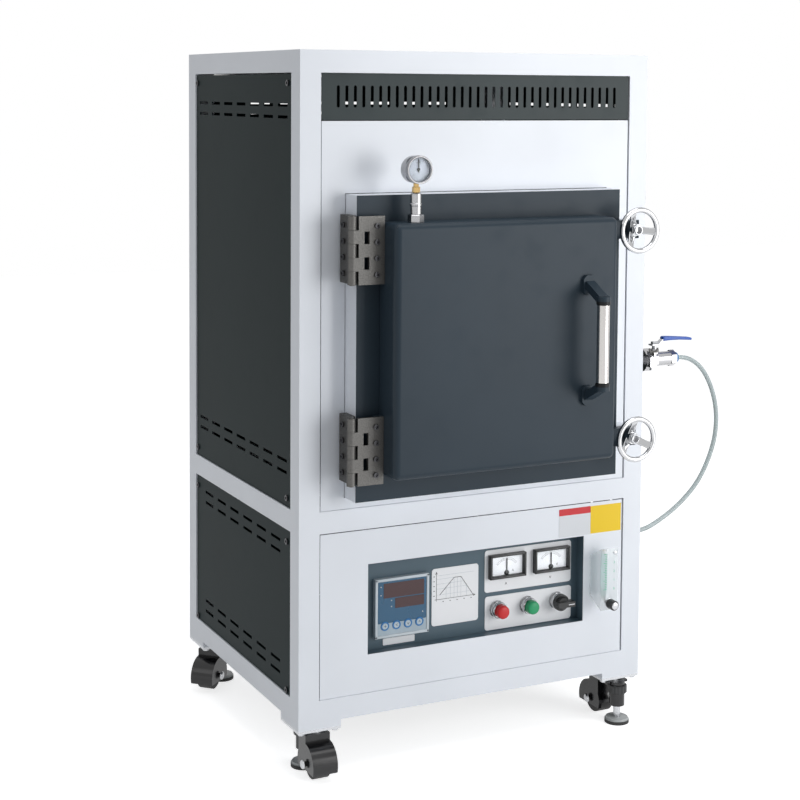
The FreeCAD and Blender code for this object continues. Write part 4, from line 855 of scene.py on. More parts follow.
SCALE_GREEN = Moulded("scale_green", (0.02, 0.30, 0.14), roughness=0.4, dust=0.05, slot="plastic_green")
GRID_GREY = Moulded("grid_grey", (0.35, 0.40, 0.45), roughness=0.5, dust=0.05)
INSULATION = PowderCoat("insulation_tape", (0.62, 0.50, 0.16), roughness=0.4, cloud=0.1)
BLACK_STEEL = Metal("blackened_steel", (0.07, 0.07, 0.075), roughness=0.34, contrast=0.1)
ZINC = Metal("zinc_plate", (0.55, 0.56, 0.58), roughness=0.3, contrast=0.2)

# Further than any piece of the furnace reaches, in millimetres.
FAR = 2000.0


def past(finish: Finish, y: float = -FAR, z: float = -FAR) -> Patch:
    """A patch over all that lies behind one depth and above one height."""
    return Patch(finish, (-FAR, y, z), (FAR, FAR, FAR))


def layer(finish: Finish, low: float, high: float, front: float = -FAR, rear: float = FAR) -> Patch:
    """A patch between two heights, and between two depths where they are given."""
    return Patch(finish, (-FAR, front, low), (FAR, rear, high))


def patched(name: str, base: Finish, *patches: Patch) -> Patched:
    """A finish with patches of others over it."""
    return Patched(name, base.colour, base, patches)


# Painted shade: the white fascia and chamber shell turn near black behind these depths, where they lie in
# the cabinet's shade.
FASCIA_COAT = patched("fascia_coat", WHITE_COAT, past(INSIDE_SHADE, y=3.2))
SHELL_COAT = patched("shell_coat", WHITE_COAT, past(INSIDE_SHADE, y=4.0))
FLANGE_COAT = patched("flange_coat", DOOR_COAT, past(WHITE_COAT, y=-38.4))
HANDLE_COAT = patched("handle_finish", DOOR_COAT, layer(BLACK_PLASTIC, 617.0, 753.0, rear=-129.0),
                      layer(POLISHED, 623.4, 746.6))
COLLAR_CHROME = patched("collar_finish", CHROME, past(BLACK_PLASTIC, y=25.2))
CONTROLLER_SHELL = patched("controller_finish", BLACK_PLASTIC, layer(PALE_BEZEL, -FAR, FAR, rear=24.9))
PORT_STEEL = patched("port_finish", BRUSHED, past(BLACK_PLASTIC, y=500.0))
ROD_FINISH = patched("rod_finish", ELEMENT, past(CAST_ALLOY, y=429.0))
TRANSFORMER_FINISH = patched("transformer_finish", VARNISHED_IRON,
                             layer(INSULATION, 149.0, 209.0, rear=234.9),
                             layer(INSULATION, 149.0, 209.0, front=325.1))
CASTER_FINISH = patched("caster_finish", GLOSS_BLACK, past(ZINC, z=71.2))
PAD_FINISH = patched("pad_finish", SOLE_RUBBER, layer(GREY_PLASTIC, 5.9, 9.1), past(ZINC, z=9.1))
GAUGE_STEEL = patched("gauge_finish", TURNED_STEEL, layer(BRASS, 927.2, 939.2))
CORNERS = ("front_left", "front_right", "rear_left", "rear_right")

NODE_FINISH: dict[Finish, tuple[str, ...]] = {
    WHITE_COAT: ("frame_posts", "frame_rails"),
    FASCIA_COAT: ("front_fascia", "control_fascia"),
    SHELL_COAT: ("chamber_shell",),
    SHADED_SIDE_COAT: ("side_panels", "rear_and_base_panels"),
    SLATE_COAT: ("top_panel", "vent_grille"),
    DOOR_COAT: ("door_shell",),
    FLANGE_COAT: ("front_flange",),
    TRAY_COAT: ("instrument_panel",),
    ZINC: ("caster_plates",),
    PORT_STEEL: ("cabinet_ports",),
    TURNED_STEEL: ("clamp_stud_upper", "clamp_stud_lower", "ball_valve", "flowmeter_float", "port_clamp"),
    GAUGE_STEEL: ("vacuum_gauge",),
    CHROME: ("handwheel_upper", "handwheel_lower"),
    COLLAR_CHROME: ("switch_bezels",),
    HANDLE_COAT: ("door_handle",),
    CAST_ALLOY: ("hinge_frame_leaves", "hinge_door_leaves"),
    CONTROLLER_SHELL: ("controller_case",),
    BLACK_PLASTIC: ("meter_cases", "selector_knob", "flowmeter_knob", "ammeter_needle",
                    "voltmeter_needle", "gauge_pointer"),
    CASTER_FINISH: tuple("caster_housing_" + corner for corner in CORNERS),
    PALE_KEY: tuple("controller_key_%d" % number for number in range(1, 5)),
    RED_CAP: ("stop_button",),
    GREEN_CAP: ("start_button",),
    LEVER_BLUE: ("valve_lever",),
    SEAL_RUBBER: ("door_seal",),
    TYRE_RUBBER: tuple("caster_wheel_" + corner for corner in CORNERS),
    PAD_FINISH: tuple("levelling_pad_" + corner for corner in CORNERS),
    LINING: ("chamber_lining", "door_plug"),
    HEARTH: ("hearth_plate",),
    ROD_FINISH: ("heating_elements",),
    TRANSFORMER_FINISH: ("power_transformer",),
    ACRYLIC: ("flowmeter_block",),
    HOSE_WALL: ("hose",),
}


def dress(piece: Piece, finish: Finish) -> Piece:
    """Gives a piece one finish all over."""
    piece.data.materials.clear()
    piece.data.materials.append(finish.material())
    return piece


def fit(piece: Piece, finish: Finish, body: str = "cabinet") -> Piece:
    """Dresses a new piece and lets it ride on a body.

    Args:
        piece: The new piece.
        finish: Its finish.
        body: The body that it moves with.

    Returns:
        The same piece.
    """
    dress(piece, finish)
    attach(piece, body)
    LOG.info("made %s on %s", piece.name, body)
    return piece


def dress_nodes(nodes: dict[str, Piece]) -> None:
    """Gives every node that was carried over its finish.

    Args:
        nodes: The nodes by name.
    """
    for finish, names in NODE_FINISH.items():
        for name in names:
            for place in nodes[name].material_slots:
                place.material = finish.material()
    LOG.info("dressed %d nodes", sum(len(names) for names in NODE_FINISH.values()))


def lofted(name: str, stations: Sequence[tuple[float, float, float, float, float]], rounding: float = 0.0,
           steps: int = 3) -> Piece:
    """A bar of rectangular section that is extruded from station to station along X.

    Args:
        name: The bar's name.
        stations: For each section its middle's X, Y and Z, its width along Y and its height along Z.
        rounding: Width of its rounded edges.
        steps: Faces across each rounded edge.

    Returns:
        The new bar.
    """
    deselect()
    x, y, z, wide, high = stations[0]
    bpy.ops.mesh.primitive_plane_add(size=1, location=at(x, y, z), rotation=(0, math.radians(90), 0))
    piece = added(name, (high / MM, wide / MM, 1))
    opened()
    for before, after in zip(stations, stations[1:]):
        step = at(*after[:3]) - at(*before[:3])
        bpy.ops.mesh.extrude_region_move(TRANSFORM_OT_translate={"value": step})
        bpy.ops.transform.resize(value=(1, after[3] / before[3], after[4] / before[4]),
                                 center_override=at(*after[:3]))
    closed()
    if rounding:
        soften(piece, rounding, steps)
    return piece


def swung(piece: Piece, place: Point, axis: str, angle: float) -> Piece:
    """Turns a piece about an axis and settles it.

    Args:
        piece: The piece.
        place: A place on the axis, in cabinet millimetres.
        axis: The axis's letter.
        angle: How far it turns, in degrees.

    Returns:
        The same piece.
    """
    centre = Matrix.Translation(at(*place))
    piece.matrix_world = centre @ Matrix.Rotation(math.radians(angle), 4, axis) @ centre.inverted()
    return settle(piece)


def bars(name: str, x: Pair, y: Pair, z: Pair, rail: float, stile: float, nip: float) -> Piece:
    """A window frame of four rounded bars.

    Args:
        name: The frame's name.
        x: Its left and right edge, in cabinet millimetres.
        y: Its front and rear.
        z: Its lower and upper edge.
        rail: Height of the level bars.
        stile: Width of the upright bars.
        nip: How much shorter the upright bars are at each end.

    Returns:
        The frame as one piece.
    """
    (left, right), (low, high) = x, z
    upright = (low + nip, high - nip)
    spans = (((left, right), (high - rail, high)), ((left, right), (low, low + rail)),
             ((left, left + stile), upright), ((right - stile, right), upright))
    return joined(name, [slab("bar", (across[0], y[0], level[0]), (across[1], y[1], level[1]), BAR_ROUNDING)
                         for across, level in spans])


def around(x: float, z: float, angle: float, radius: float) -> Pair:
    """A place round a middle, as X and Z, from an angle in degrees and a radius."""
    lean = math.radians(angle)
    return x + radius * math.cos(lean), z + radius * math.sin(lean)


@dataclass(frozen=True)
class Sheet:
    """One flat plate that faces the front and rides on the cabinet, measured in cabinet millimetres."""

    name: str
    finish: Finish
    x: Pair
    z: Pair
    face: float = PLATE_FACE
    thick: float = 1.0
    corner: float = 5.0

    def build(self) -> None:
        """Makes the plate."""
        fit(plate(self.name, self.x, self.z, self.face, self.thick, corner=self.corner), self.finish)


@dataclass
class Handwheel:
    """A dished, plated clamp wheel with three broad spokes, a hub and a nut."""

    node: str
    height: float
    turn: float
    across: float = 251.0
    rim_face: float = -80.3
    rim_radius: float = 33.7
    rim_thick: float = 4.4
    hub_back: float = -56.4
    hub_front: float = -72.4
    hub_radius: float = 11.0
    bore: float = 6.15

    def rim(self) -> Piece:
        """The round rim."""
        deselect()
        bpy.ops.mesh.primitive_torus_add(major_radius=self.rim_radius / MM,
                                         minor_radius=self.rim_thick / MM,
                                         major_segments=72, minor_segments=18)
        ring = added(self.node + "_rim")
        ring.matrix_world = Matrix.Translation(at(self.across, self.rim_face, self.height)) @ Axis.Y.turn()
        settle(ring)
        bpy.ops.object.shade_smooth()
        return ring

    def spoke(self, angle: float) -> Piece:
        """One broad spoke that rises from the hub to the rim, at an angle in degrees."""
        bar = lofted(self.node + "_spoke", (
            (self.across + 6, -64.5, self.height, 6.5, 15.5),
            (self.across + 12, -66.8, self.height, 5.6, 13.0),
            (self.across + 22, -74.2, self.height, 4.8, 11.5),
            (self.across + 29, -79.0, self.height, 4.8, 12.5),
            (self.across + 34, self.rim_face, self.height, 5.0, 15.0),
        ), rounding=1.7, steps=4)
        return swung(bar, (self.across, 0, self.height), "Y", angle)

    def hub(self) -> Piece:
        """The turned hub, bored for the stud."""
        back, front, wide = self.hub_back, self.hub_front, self.hub_radius
        return ringed(self.node + "_hub", (self.across, 0, self.height), Axis.Y, (
            (back, self.bore), (back, wide - 0.8), (back - 0.8, wide), (-65.5, wide), (-68.5, wide - 0.8),
            (-71.5, wide - 1.2), (front, wide - 1.6), (front, self.bore),
        ), sides=40)

    def nut(self) -> Piece:
        """The hexagon nut and its threaded sleeve, which the stud passes through."""
        middle, back = (self.across, 0, self.height), self.hub_front
        flats = ringed(self.node + "_nut", middle, Axis.Y, (
            (back, 7.1), (back, 9.2), (-76.2, 9.2), (-76.8, 8.4), (-76.8, 7.1),
        ), sides=6, crease=20)
        sleeve = ringed(self.node + "_sleeve", middle, Axis.Y, (
            (back, self.bore), (back, 7.6), (-78.0, 7.6), (-79.0, 6.9), (-79.0, self.bore),
        ), sides=40)
        return joined(self.node + "_nut", (flats, sleeve))

    def build(self) -> None:
        """Makes the wheel in place of its plain solid."""
        spokes = [self.spoke(self.turn + third) for third in (0, 120, 240)]
        wheel = fit(joined(self.node + "_wheel", [self.rim(), self.hub(), *spokes]), CHROME, self.node)
        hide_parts(self.node)
        fit(self.nut(), ZINC, self.node)


@dataclass
class HingeScrews:
    """Socket screws of one hinge: four in the leaf beside the flange and four in the door's leaf."""

    name: str
    middle: float
    rows: tuple[float, ...] = (-37.5, -12.5, 12.5, 37.5)
    leaf: Pair = (-251.0, -18.0)
    strip: Pair = (-213.5, -57.6)

    def build(self) -> None:
        """Sets the screws."""
        heights = [self.middle + row for row in self.rows]
        fixed = [bolt("leaf_screw", (*self.leaf, height), Axis.X, 4.6, 3.4, -1) for height in heights]
        moving = [bolt("door_screw", (*self.strip, height), Axis.Y, 4.4, 3.2, -1) for height in heights]
        fit(joined(self.name + "_leaf_screws", fixed), BLACK_STEEL)
        fit(joined(self.name + "_door_screws", moving), BLACK_STEEL, "door")


@dataclass
class Gauge:
    """Vacuum gauge on the door: case, bezel, printed dial, window, brass nipple and stem."""

    across: float = -154.0
    height: float = 962.0
    depth: float = -70.6
    dial_face: float = -77.75
    window: float = -83.0
    first: float = 225.0
    sweep: float = 270.0
    marks: int = 25
    lift: float = 0.1

    def spot(self, share: float, radius: float) -> Pair:
        """A place on the dial, as X and Z, from a share of the pointer's sweep and a radius."""
        return around(self.across, self.height, self.first - self.sweep * share, radius)

    def scale(self) -> Piece:
        """Marks round the dial, every sixth one longer, and the numbers of a vacuum scale."""
        face = self.dial_face - self.lift
        prints = []
        for number in range(self.marks):
            share = number / (self.marks - 1)
            inner, width = (14.4, 0.7) if number % 6 == 0 else (15.6, 0.4)
            start, end = self.spot(share, inner), self.spot(share, 17.4)
            prints.append(stroke("gauge_mark", start, end, width, face))
        for text, share in (("-0.1", 0.0), ("-0.05", 0.5), ("0", 1.0)):
            x, z = self.spot(share, 11.0)
            prints.append(lettering("gauge_number", text, (x, face, z), 2.4))
        return joined("gauge_scale", prints)

    def case(self, middle: Point) -> None:
        """The deep round case on its stem, in place of the plain one, and the brass nipple between them.

        Args:
            middle: The place on the dial's axis at the cabinet's front.
        """
        below = (self.across, self.depth, 0)
        drum = turned("gauge_case", middle, Axis.Y, (
            (-55.0, 8.0), (-55.4, 16.0), (-56.8, 19.2), (-58.4, 20.6), (-60.0, 21.0), (-76.6, 21.0),
            (-77.2, 20.6),
        ), sides=64, crease=40)
        stem = turned("gauge_stem", below, Axis.Z, (
            (893.0, 7.6), (894.2, 8.6), (906.0, 8.6), (907.0, 9.4), (909.6, 9.4), (910.6, 8.6),
            (925.0, 8.6), (926.4, 7.2), (927.2, 4.0),
        ), sides=48)
        foot = turned("gauge_foot", below, Axis.Z, (
            (880.8, 11.6), (881.6, 12.6), (892.0, 12.6), (893.4, 11.2), (893.6, 6.0),
        ), sides=6, crease=20)
        whole = fit(joined("gauge_case", (drum, stem, foot)), TURNED_STEEL, "door")
        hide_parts("vacuum_gauge")
        nipple = turned("gauge_nipple", below, Axis.Z, (
            (926.6, 5.0), (927.4, 6.2), (935.0, 6.2), (935.8, 5.2), (936.0, 4.2), (944.0, 4.2),
        ), sides=6, crease=20)
        fit(nipple, BRASS, "door")

    def build(self) -> None:
        """Makes the gauge."""
        middle = (self.across, 0, self.height)
        face, window = self.dial_face, self.window
        self.case(middle)
        ring = ringed("gauge_bezel", middle, Axis.Y, (
            (-77.0, 18.4), (-83.6, 18.4), (-84.9, 19.4), (-85.2, 20.6), (-84.4, 21.8), (-78.0, 22.2),
            (-76.6, 21.6),
        ), sides=64, crease=50)
        fit(ring, BEZEL_STEEL, "door")
        dial = turned("gauge_dial", middle, Axis.Y, (
            (-77.4, 19.0), (face, 19.0), (face - self.lift, 18.8),
        ), sides=64)
        fit(dial, DIAL_PRINT, "door")
        fit(self.scale(), PRINT_BLACK, "door")
        glass = turned("gauge_window", middle, Axis.Y, (
            (window, 18.8), (window - 0.6, 18.6), (window - 0.9, 12.0), (window - 1.0, 3.0),
        ), sides=64)
        fit(glass, DIAL_GLASS, "door")


@dataclass
class CurveChart:
    """Print of a heating run on its white plate: two axes, guide lines and a trapezoid curve."""

    face: float = PLATE_FACE - PRINT_LIFT
    side: float = -63.9
    base: float = 253.5
    tip: Pair = (8.0, 299.4)
    knots: Profile = ((-57.5, 261.0), (-31.3, 287.0), (-18.6, 287.0), (4.0, 254.5))
    level_guides: Profile = ((261.0, -2.0), (271.0, -8.0), (279.0, -14.0), (287.0, -31.0), (293.0, 5.0))
    upright_guides: Profile = ((-46.0, 272.0), (-38.0, 280.0), (-31.3, 287.0), (-25.0, 287.0),
                               (-18.6, 287.0), (-8.0, 271.0))

    def strokes(self, name: str, width: float, lines: Sequence[tuple[Pair, Pair]]) -> list[Piece]:
        """Several printed lines of one width."""
        return [stroke(name, start, end, width, self.face) for start, end in lines]

    def build(self) -> None:
        """Makes the print."""
        side, base = self.side, self.base
        right, top = (self.tip[0], base), (side, self.tip[1])
        prints = self.strokes("chart_axis", 0.7, (
            ((side, 251.0), (side, 299.0)), ((-66.5, base), (7.5, base)),
        ))
        prints += self.strokes("chart_arrow", 0.8, (
            (top, (side - 1.5, 295.8)), (top, (side + 1.5, 295.8)), (right, (4.6, 255.0)),
            (right, (4.6, 252.0)),
        ))
        for number in range(5):
            height, x = 260.0 + 8 * number, -52.0 + 13 * number
            prints += self.strokes("chart_number", 1.0, (
                ((-69.0, height), (-67.4, height)), ((x, 249.4), (x + 1.4, 249.4)),
            ))
        prints += self.strokes("chart_curve", 0.9, tuple(zip(self.knots, self.knots[1:])))
        fit(joined("chart_curve", prints), PRINT_BLACK)
        guides = [((side, height), (end, height)) for height, end in self.level_guides]
        guides += [((x, base), (x, end)) for x, end in self.upright_guides]
        fit(joined("chart_guides", self.strokes("chart_guide", 0.3, guides)), GRID_GREY)


@dataclass
class ControllerFace:
    """Blue face, two dark displays, lower strip, key rings and lamps of the temperature controller."""

    face: float = 16.2
    width: Pair = (-172.8, -86.2)
    keys: tuple[float, ...] = (-160.4, -139.8, -119.2, -98.6)
    key_height: float = 225.0
    key_face: float = 15.25
    key_marks: tuple[Profile, ...] = (
        ((0.4, 1.4), (1.8, 0.0), (0.4, -1.4), (1.8, 0.0), (-1.8, 0.0)),
        ((1.6, 1.5), (-1.6, 0.0), (1.6, -1.5)),
        ((-1.6, 1.2), (0.0, -1.6), (1.6, 1.2)),
        ((-1.6, -1.2), (0.0, 1.6), (1.6, -1.2)),
    )
    lamp_places: Profile = ((-167.8, 289.5), (-167.8, 276.0), (-149.0, 266.0), (-149.0, 256.0),
                            (-93.0, 241.0))

    def keys_trim(self) -> None:
        """A blue ring round each key, and a plain mark on each key that moves with it."""
        rings = []
        for number, (x, mark) in enumerate(zip(self.keys, self.key_marks), 1):
            rings.append(ringed("key_ring", (x, 0, self.key_height), Axis.Y, (
                (17.2, 5.1), (15.6, 5.1), (15.2, 5.7), (15.2, 6.9), (15.7, 7.4), (17.2, 7.4),
            ), sides=32))
            spots = [(x + right, self.key_height + up) for right, up in mark]
            lines = [stroke("key_mark", start, end, 0.6, self.key_face)
                     for start, end in zip(spots, spots[1:])]
            fit(joined("key_mark_%d" % number, lines), PRINT_BLACK, "controller_key_%d" % number)
        fit(joined("key_rings", rings), RING_BLUE)

    def lamps(self) -> None:
        """Small lamps beside the two displays."""
        outline = ((self.face, 1.1), (self.face - 0.5, 1.0), (self.face - 0.7, 0.5))
        heads = [turned("controller_lamp", (x, 0, z), Axis.Y, outline, sides=16)
                 for x, z in self.lamp_places]
        fit(joined("controller_lamps", heads), GREY_PLASTIC)

    def build(self) -> None:
        """Makes the face."""
        Sheet("controller_blue", FACE_BLUE, self.width, (229.7, 297.3), self.face, 1.2, 1.2).build()
        Sheet("controller_strip", STRIP_GREY, self.width, (210.7, 229.3), self.face + 0.2, 1.0, 1.2).build()
        screens = [plate("display", (left, -90.5), heights, self.face - 0.35, 0.6, corner=1.0)
                   for left, heights in ((-163.0, (270.5, 294.5)), (-142.5, (252.5, 269.0)))]
        fit(joined("controller_displays", screens), DISPLAY_RED)
        rim = bars("controller_rim", (-177.9, -81.1), (15.4, 18.6), (205.6, 302.4),
                   rail=4.4, stile=4.5, nip=0.4)
        fit(rim, PALE_BEZEL)
        self.keys_trim()
        self.lamps()
        Sheet("name_strip", PRINT_WHITE, (-160.0, -103.0), (191.0, 202.0), 24.2, 0.8, 1.5).build()


@dataclass
class Meter:
    """Printed face, frame and window of one panel meter."""

    name: str
    unit: str
    across: float
    middle: float = 296.0
    pivot: float = 283.5
    face: float = 22.3
    inner: float = 22.0
    outer: float = 25.6
    leans: tuple[int, ...] = tuple(range(140, 39, -5))

    def spot(self, lean: float, radius: float) -> Pair:
        """A place on the scale, as X and Z, from an angle in degrees and a radius."""
        return around(self.across, self.pivot, lean, radius)

    def scale(self) -> Piece:
        """Marks along an arc, every fifth one longer, and the unit's letter."""
        front = self.face - PRINT_LIFT
        prints = []
        for number, lean in enumerate(self.leans):
            start = self.spot(lean, self.inner if number % 5 == 0 else 23.6)
            prints.append(stroke("meter_mark", start, self.spot(lean, self.outer), 0.35, front))
        for first, second in zip(self.leans, self.leans[1:]):
            start, end = self.spot(first, self.inner), self.spot(second, self.inner)
            prints.append(stroke("meter_arc", start, end, 0.3, front))
        place = (self.across + 12.0, front, self.middle - 10.0)
        prints.append(lettering("meter_unit", self.unit, place, 4.2))
        return joined(self.name + "_scale", prints)

    def build(self) -> None:
        """Makes the face."""
        x, z = self.across, self.middle
        Sheet(self.name + "_face", PRINT_WHITE, (x - 30.0, x + 30.0), (z - 16.6, z + 16.6),
              self.face, 0.4, 0.8).build()
        fit(self.scale(), PRINT_BLACK)
        boss = turned(self.name + "_boss", (x, 0, self.pivot), Axis.Y, (
            (self.face, 4.4), (20.9, 4.2), (20.5, 3.4),
        ), sides=28)
        fit(boss, BLACK_PLASTIC)
        rim = bars(self.name + "_rim", (x - 34.3, x + 34.3), (14.6, 19.0), (z - 20.3, z + 20.3),
                   rail=3.7, stile=3.9, nip=0.3)
        fit(rim, BLACK_PLASTIC)
        window = plate(self.name + "_window", (x - 31.0, x + 31.0), (z - 17.0, z + 17.0), 17.8, 1.0)
        fit(window, DIAL_GLASS)
        fit(lettering(self.name + "_tag", self.unit, (x, PLATE_FACE - PRINT_LIFT, 264.5), 4.6), PRINT_BLACK)


@dataclass
class SwitchTrim:
    """Domed caps, collars and nuts of the switches, and the selector's line."""

    height: float = 223.5
    stops: tuple[float, ...] = (50.0, 107.5, 165.0)

    def cap(self, name: str, across: float, finish: Finish, body: str) -> None:
        """A domed cap over a push button.

        Args:
            name: The cap's name.
            across: The button's X.
            finish: The cap's finish.
            body: The body that it moves with.
        """
        dome = turned(name, (across, 0, self.height), Axis.Y, (
            (9.0, 10.3), (5.0, 11.0), (1.6, 11.0), (0.2, 10.3), (-0.9, 8.4), (-1.5, 5.0), (-1.7, 1.5),
        ), sides=48, crease=60)
        fit(dome, finish, body)

    def build(self) -> None:
        """Makes the trim."""
        collars = []
        for across in self.stops:
            middle = (across, 0, self.height)
            collars.append(ringed("switch_collar", middle, Axis.Y, (
                (12.6, 11.6), (10.6, 11.6), (9.9, 12.1), (9.9, 12.9), (10.8, 13.6), (15.4, 14.2),
                (16.2, 14.2), (16.2, 11.6),
            ), sides=56, crease=50))
            collars.append(turned("switch_nut", middle, Axis.Y, (
                (24.0, 15.0), (20.4, 15.0), (20.4, 14.0),
            ), sides=12, crease=20))
        fit(joined("switch_collars", collars), CHROME)
        self.cap("stop_cap", self.stops[0], RED_CAP, "stop_button")
        self.cap("start_cap", self.stops[1], GREEN_CAP, "start_button")
        skirt = turned("selector_skirt", (self.stops[2], 0, self.height), Axis.Y, (
            (9.0, 11.2), (4.0, 11.2), (0.6, 10.6), (-0.6, 9.6),
        ), sides=40)
        fit(skirt, BLACK_PLASTIC, "selector_knob")
        line = stroke("selector_line", (171.0, self.height), (181.5, self.height), 1.3, -8.5)
        fit(line, PRINT_WHITE, "selector_knob")


@dataclass
class FlowMeter:
    """Clear tapered block with its tube, scale marks and the knurled cap of its needle valve."""

    across: float = 234.0
    middle: float = 266.0
    tube_depth: float = -15.5
    face: float = -33.15
    knob_height: float = 225.0
    scale_foot: float = 249.0
    back_share: float = 0.64

    def block(self) -> None:
        """The clear block, whose top and bottom slope in towards the fascia."""
        body = lofted("flow_block", [(x, -15.4, self.middle, 34.8, 106.0) for x in (217.0, 251.0)])
        front = at(0, 0, 0).y

        def at_back(spot: Vector) -> bool:
            """Whether a vertex lies at the fascia."""
            return spot.y > front

        pick(body, at_back)
        bpy.ops.transform.resize(value=(1, 1, self.back_share),
                                 center_override=at(self.across, 2.0, self.middle))
        bpy.ops.object.mode_set(mode="OBJECT")
        soften(body, 1.0, 2, 20)
        fit(body, ACRYLIC)
        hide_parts("flowmeter_block")

    def tube(self) -> None:
        """The metering tube, its two end plugs and the block's screw."""
        line = (self.across, self.tube_depth, 0)
        tube = turned("flow_tube", line, Axis.Z, (
            (234.0, 4.2), (236.0, 5.4), (304.0, 5.4), (306.0, 4.2),
        ), sides=32)
        fit(tube, TUBE_TINT)
        fittings = [turned("flow_plug", line, Axis.Z, (
            (low, 3.4), (low + 0.8, 4.6), (low + 5.2, 4.6), (low + 6.0, 3.4),
        ), sides=24) for low in (305.5, 226.0)]
        fittings.append(turned("flow_screw", (self.across + 10.5, 0, 310.0), Axis.Y, (
            (-33.0, 3.2), (-34.0, 3.2), (-34.4, 2.6),
        ), sides=20))
        fit(joined("flow_fittings", fittings), ZINC)

    def scale(self) -> None:
        """Marks along the tube, every fifth one longer and with a number."""
        end = self.across - 5.5
        marks = []
        for number in range(21):
            height = self.scale_foot + 3.0 * number
            reach = 6.0 if number % 5 == 0 else 3.4
            marks.append(stroke("flow_mark", (end - reach, height), (end, height), 0.8, self.face))
        for number in range(5):
            place = (self.across + 9.0, self.face, self.scale_foot + 15.0 * number)
            marks.append(lettering("flow_number", str(number), place, 4.0))
        fit(joined("flow_scale", marks), SCALE_GREEN)

    def build(self) -> None:
        """Makes the block, its tube and scale, and the cap with its gland."""
        self.block()
        self.tube()
        self.scale()
        middle = (self.across, 0, self.knob_height)
        grip = turned("flow_grip", middle, Axis.Y, (
            (-36.0, 6.8), (-36.6, 8.4), (-49.4, 8.4), (-50.8, 7.4),
        ), sides=20, crease=10)
        fit(grip, BLACK_PLASTIC, "flowmeter_knob")
        tip = turned("flow_tip", middle, Axis.Y, ((-50.6, 6.0), (-51.8, 6.0), (-52.3, 5.2)), sides=32)
        fit(tip, ZINC, "flowmeter_knob")
        gland = turned("flow_gland", middle, Axis.Y, ((-33.0, 8.0), (-34.2, 8.0), (-34.6, 7.2)), sides=32)
        fit(gland, ZINC)


@dataclass
class PanelScrews:
    """Screws that hold the side and rear panels."""

    side_face: float = 315.0
    rear_face: float = 512.0
    depths: Pair = (53.0, 471.0)
    heights: tuple[float, ...] = (133.0, 372.0, 441.5, 1093.0)
    reach: float = 265.0
    radius: float = 5.0
    rise: float = 2.4

    def build(self) -> None:
        """Sets the screws."""
        heads = []
        for height in self.heights:
            for side in (-1, 1):
                spots = [((side * self.side_face, depth, height), Axis.X, side) for depth in self.depths]
                spots.append(((side * self.reach, self.rear_face, height), Axis.Y, 1))
                heads += [bolt("panel_screw", place, axis, self.radius, self.rise, out)
                          for place, axis, out in spots]
        fit(joined("panel_screws", heads), BLACK_STEEL)


@dataclass
class ValveTrim:
    """Lever with its blue sleeve, hose nut ring and clamp wing nut of the vacuum port."""

    stem: float = 382.0
    arm_path: tuple[Section, ...] = (
        (373.5, 641.0, 13.0, 3.0), (387.5, 641.0, 13.0, 3.0), (398.5, 650.4, 9.0, 3.2),
        (404.0, 651.2, 7.5, 3.0), (452.0, 649.0, 6.5, 2.4),
    )
    sleeve_path: tuple[Section, ...] = (
        (396.5, 650.2, 10.5, 6.4), (400.0, 651.0, 12.0, 8.0), (412.0, 651.0, 12.0, 7.0),
        (432.0, 650.0, 11.5, 5.6), (452.0, 648.2, 10.5, 5.4), (459.5, 647.0, 8.5, 4.4),
    )

    def along(self, name: str, path: Sequence[Section], rounding: float, steps: int) -> Piece:
        """A bar over the valve, from sections of X, height, width and thickness."""
        stations = [(x, PORT_DEPTH, z, wide, thick) for x, z, wide, thick in path]
        return lofted(name, stations, rounding, steps)

    def lever(self) -> None:
        """Bent steel arm and the blue sleeve on it."""
        arm = self.along("lever_arm", self.arm_path, 0.7, 2)
        post = (self.stem, PORT_DEPTH, 0)
        foot = turned("lever_stem", post, Axis.Z, ((622.0, 4.4), (634.0, 4.4), (639.6, 4.4)), sides=24)
        nut = turned("lever_nut", post, Axis.Z, (
            (642.4, 5.6), (642.4, 6.3), (646.4, 6.3), (646.9, 5.4),
        ), sides=6, crease=20)
        whole = fit(joined("lever_arm", (arm, foot, nut)), ZINC, "valve_lever")
        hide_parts("valve_lever")
        fit(self.along("lever_sleeve", self.sleeve_path, 1.9, 4), LEVER_BLUE, "valve_lever")

    def wing_nut(self) -> None:
        """Wing nut on the bolt of the port clamp."""
        x, y, z = 361.0, 36.0, 628.5
        hub = turned("wing_hub", (x, y, 0), Axis.Z, ((z, 4.6), (z + 5.0, 4.4), (z + 6.0, 3.4)), sides=20)
        wings = [lofted("wing", (
            (x, y - 1.0, z + 1.6, 4.4, 4.0), (x + side * 5.0, y - 3.0, z + 4.0, 3.2, 6.0),
            (x + side * 9.5, y - 4.0, z + 9.5, 2.6, 6.5),
        ), rounding=0.9) for side in (1, -1)]
        fit(joined("clamp_wing_nut", (hub, *wings)), CAST_ALLOY)

    def build(self) -> None:
        """Makes the trim."""
        self.lever()
        self.wing_nut()
        ring = ringed("hose_ring", (0, PORT_DEPTH, PORT_HEIGHT), Axis.X, (
            (422.6, 6.6), (422.6, 9.4), (423.2, 10.0), (426.8, 10.0), (428.4, 8.8), (428.4, 6.6),
        ), sides=40, crease=50)
        fit(ring, RING_BLUE)
        collet = turned("inlet_collet", (0, PORT_DEPTH, INLET_HEIGHT), Axis.X, (
            (322.9, 5.4), (326.0, 7.4), (331.0, 7.4), (332.4, 6.2),
        ), sides=32)
        fit(collet, RING_BLUE)


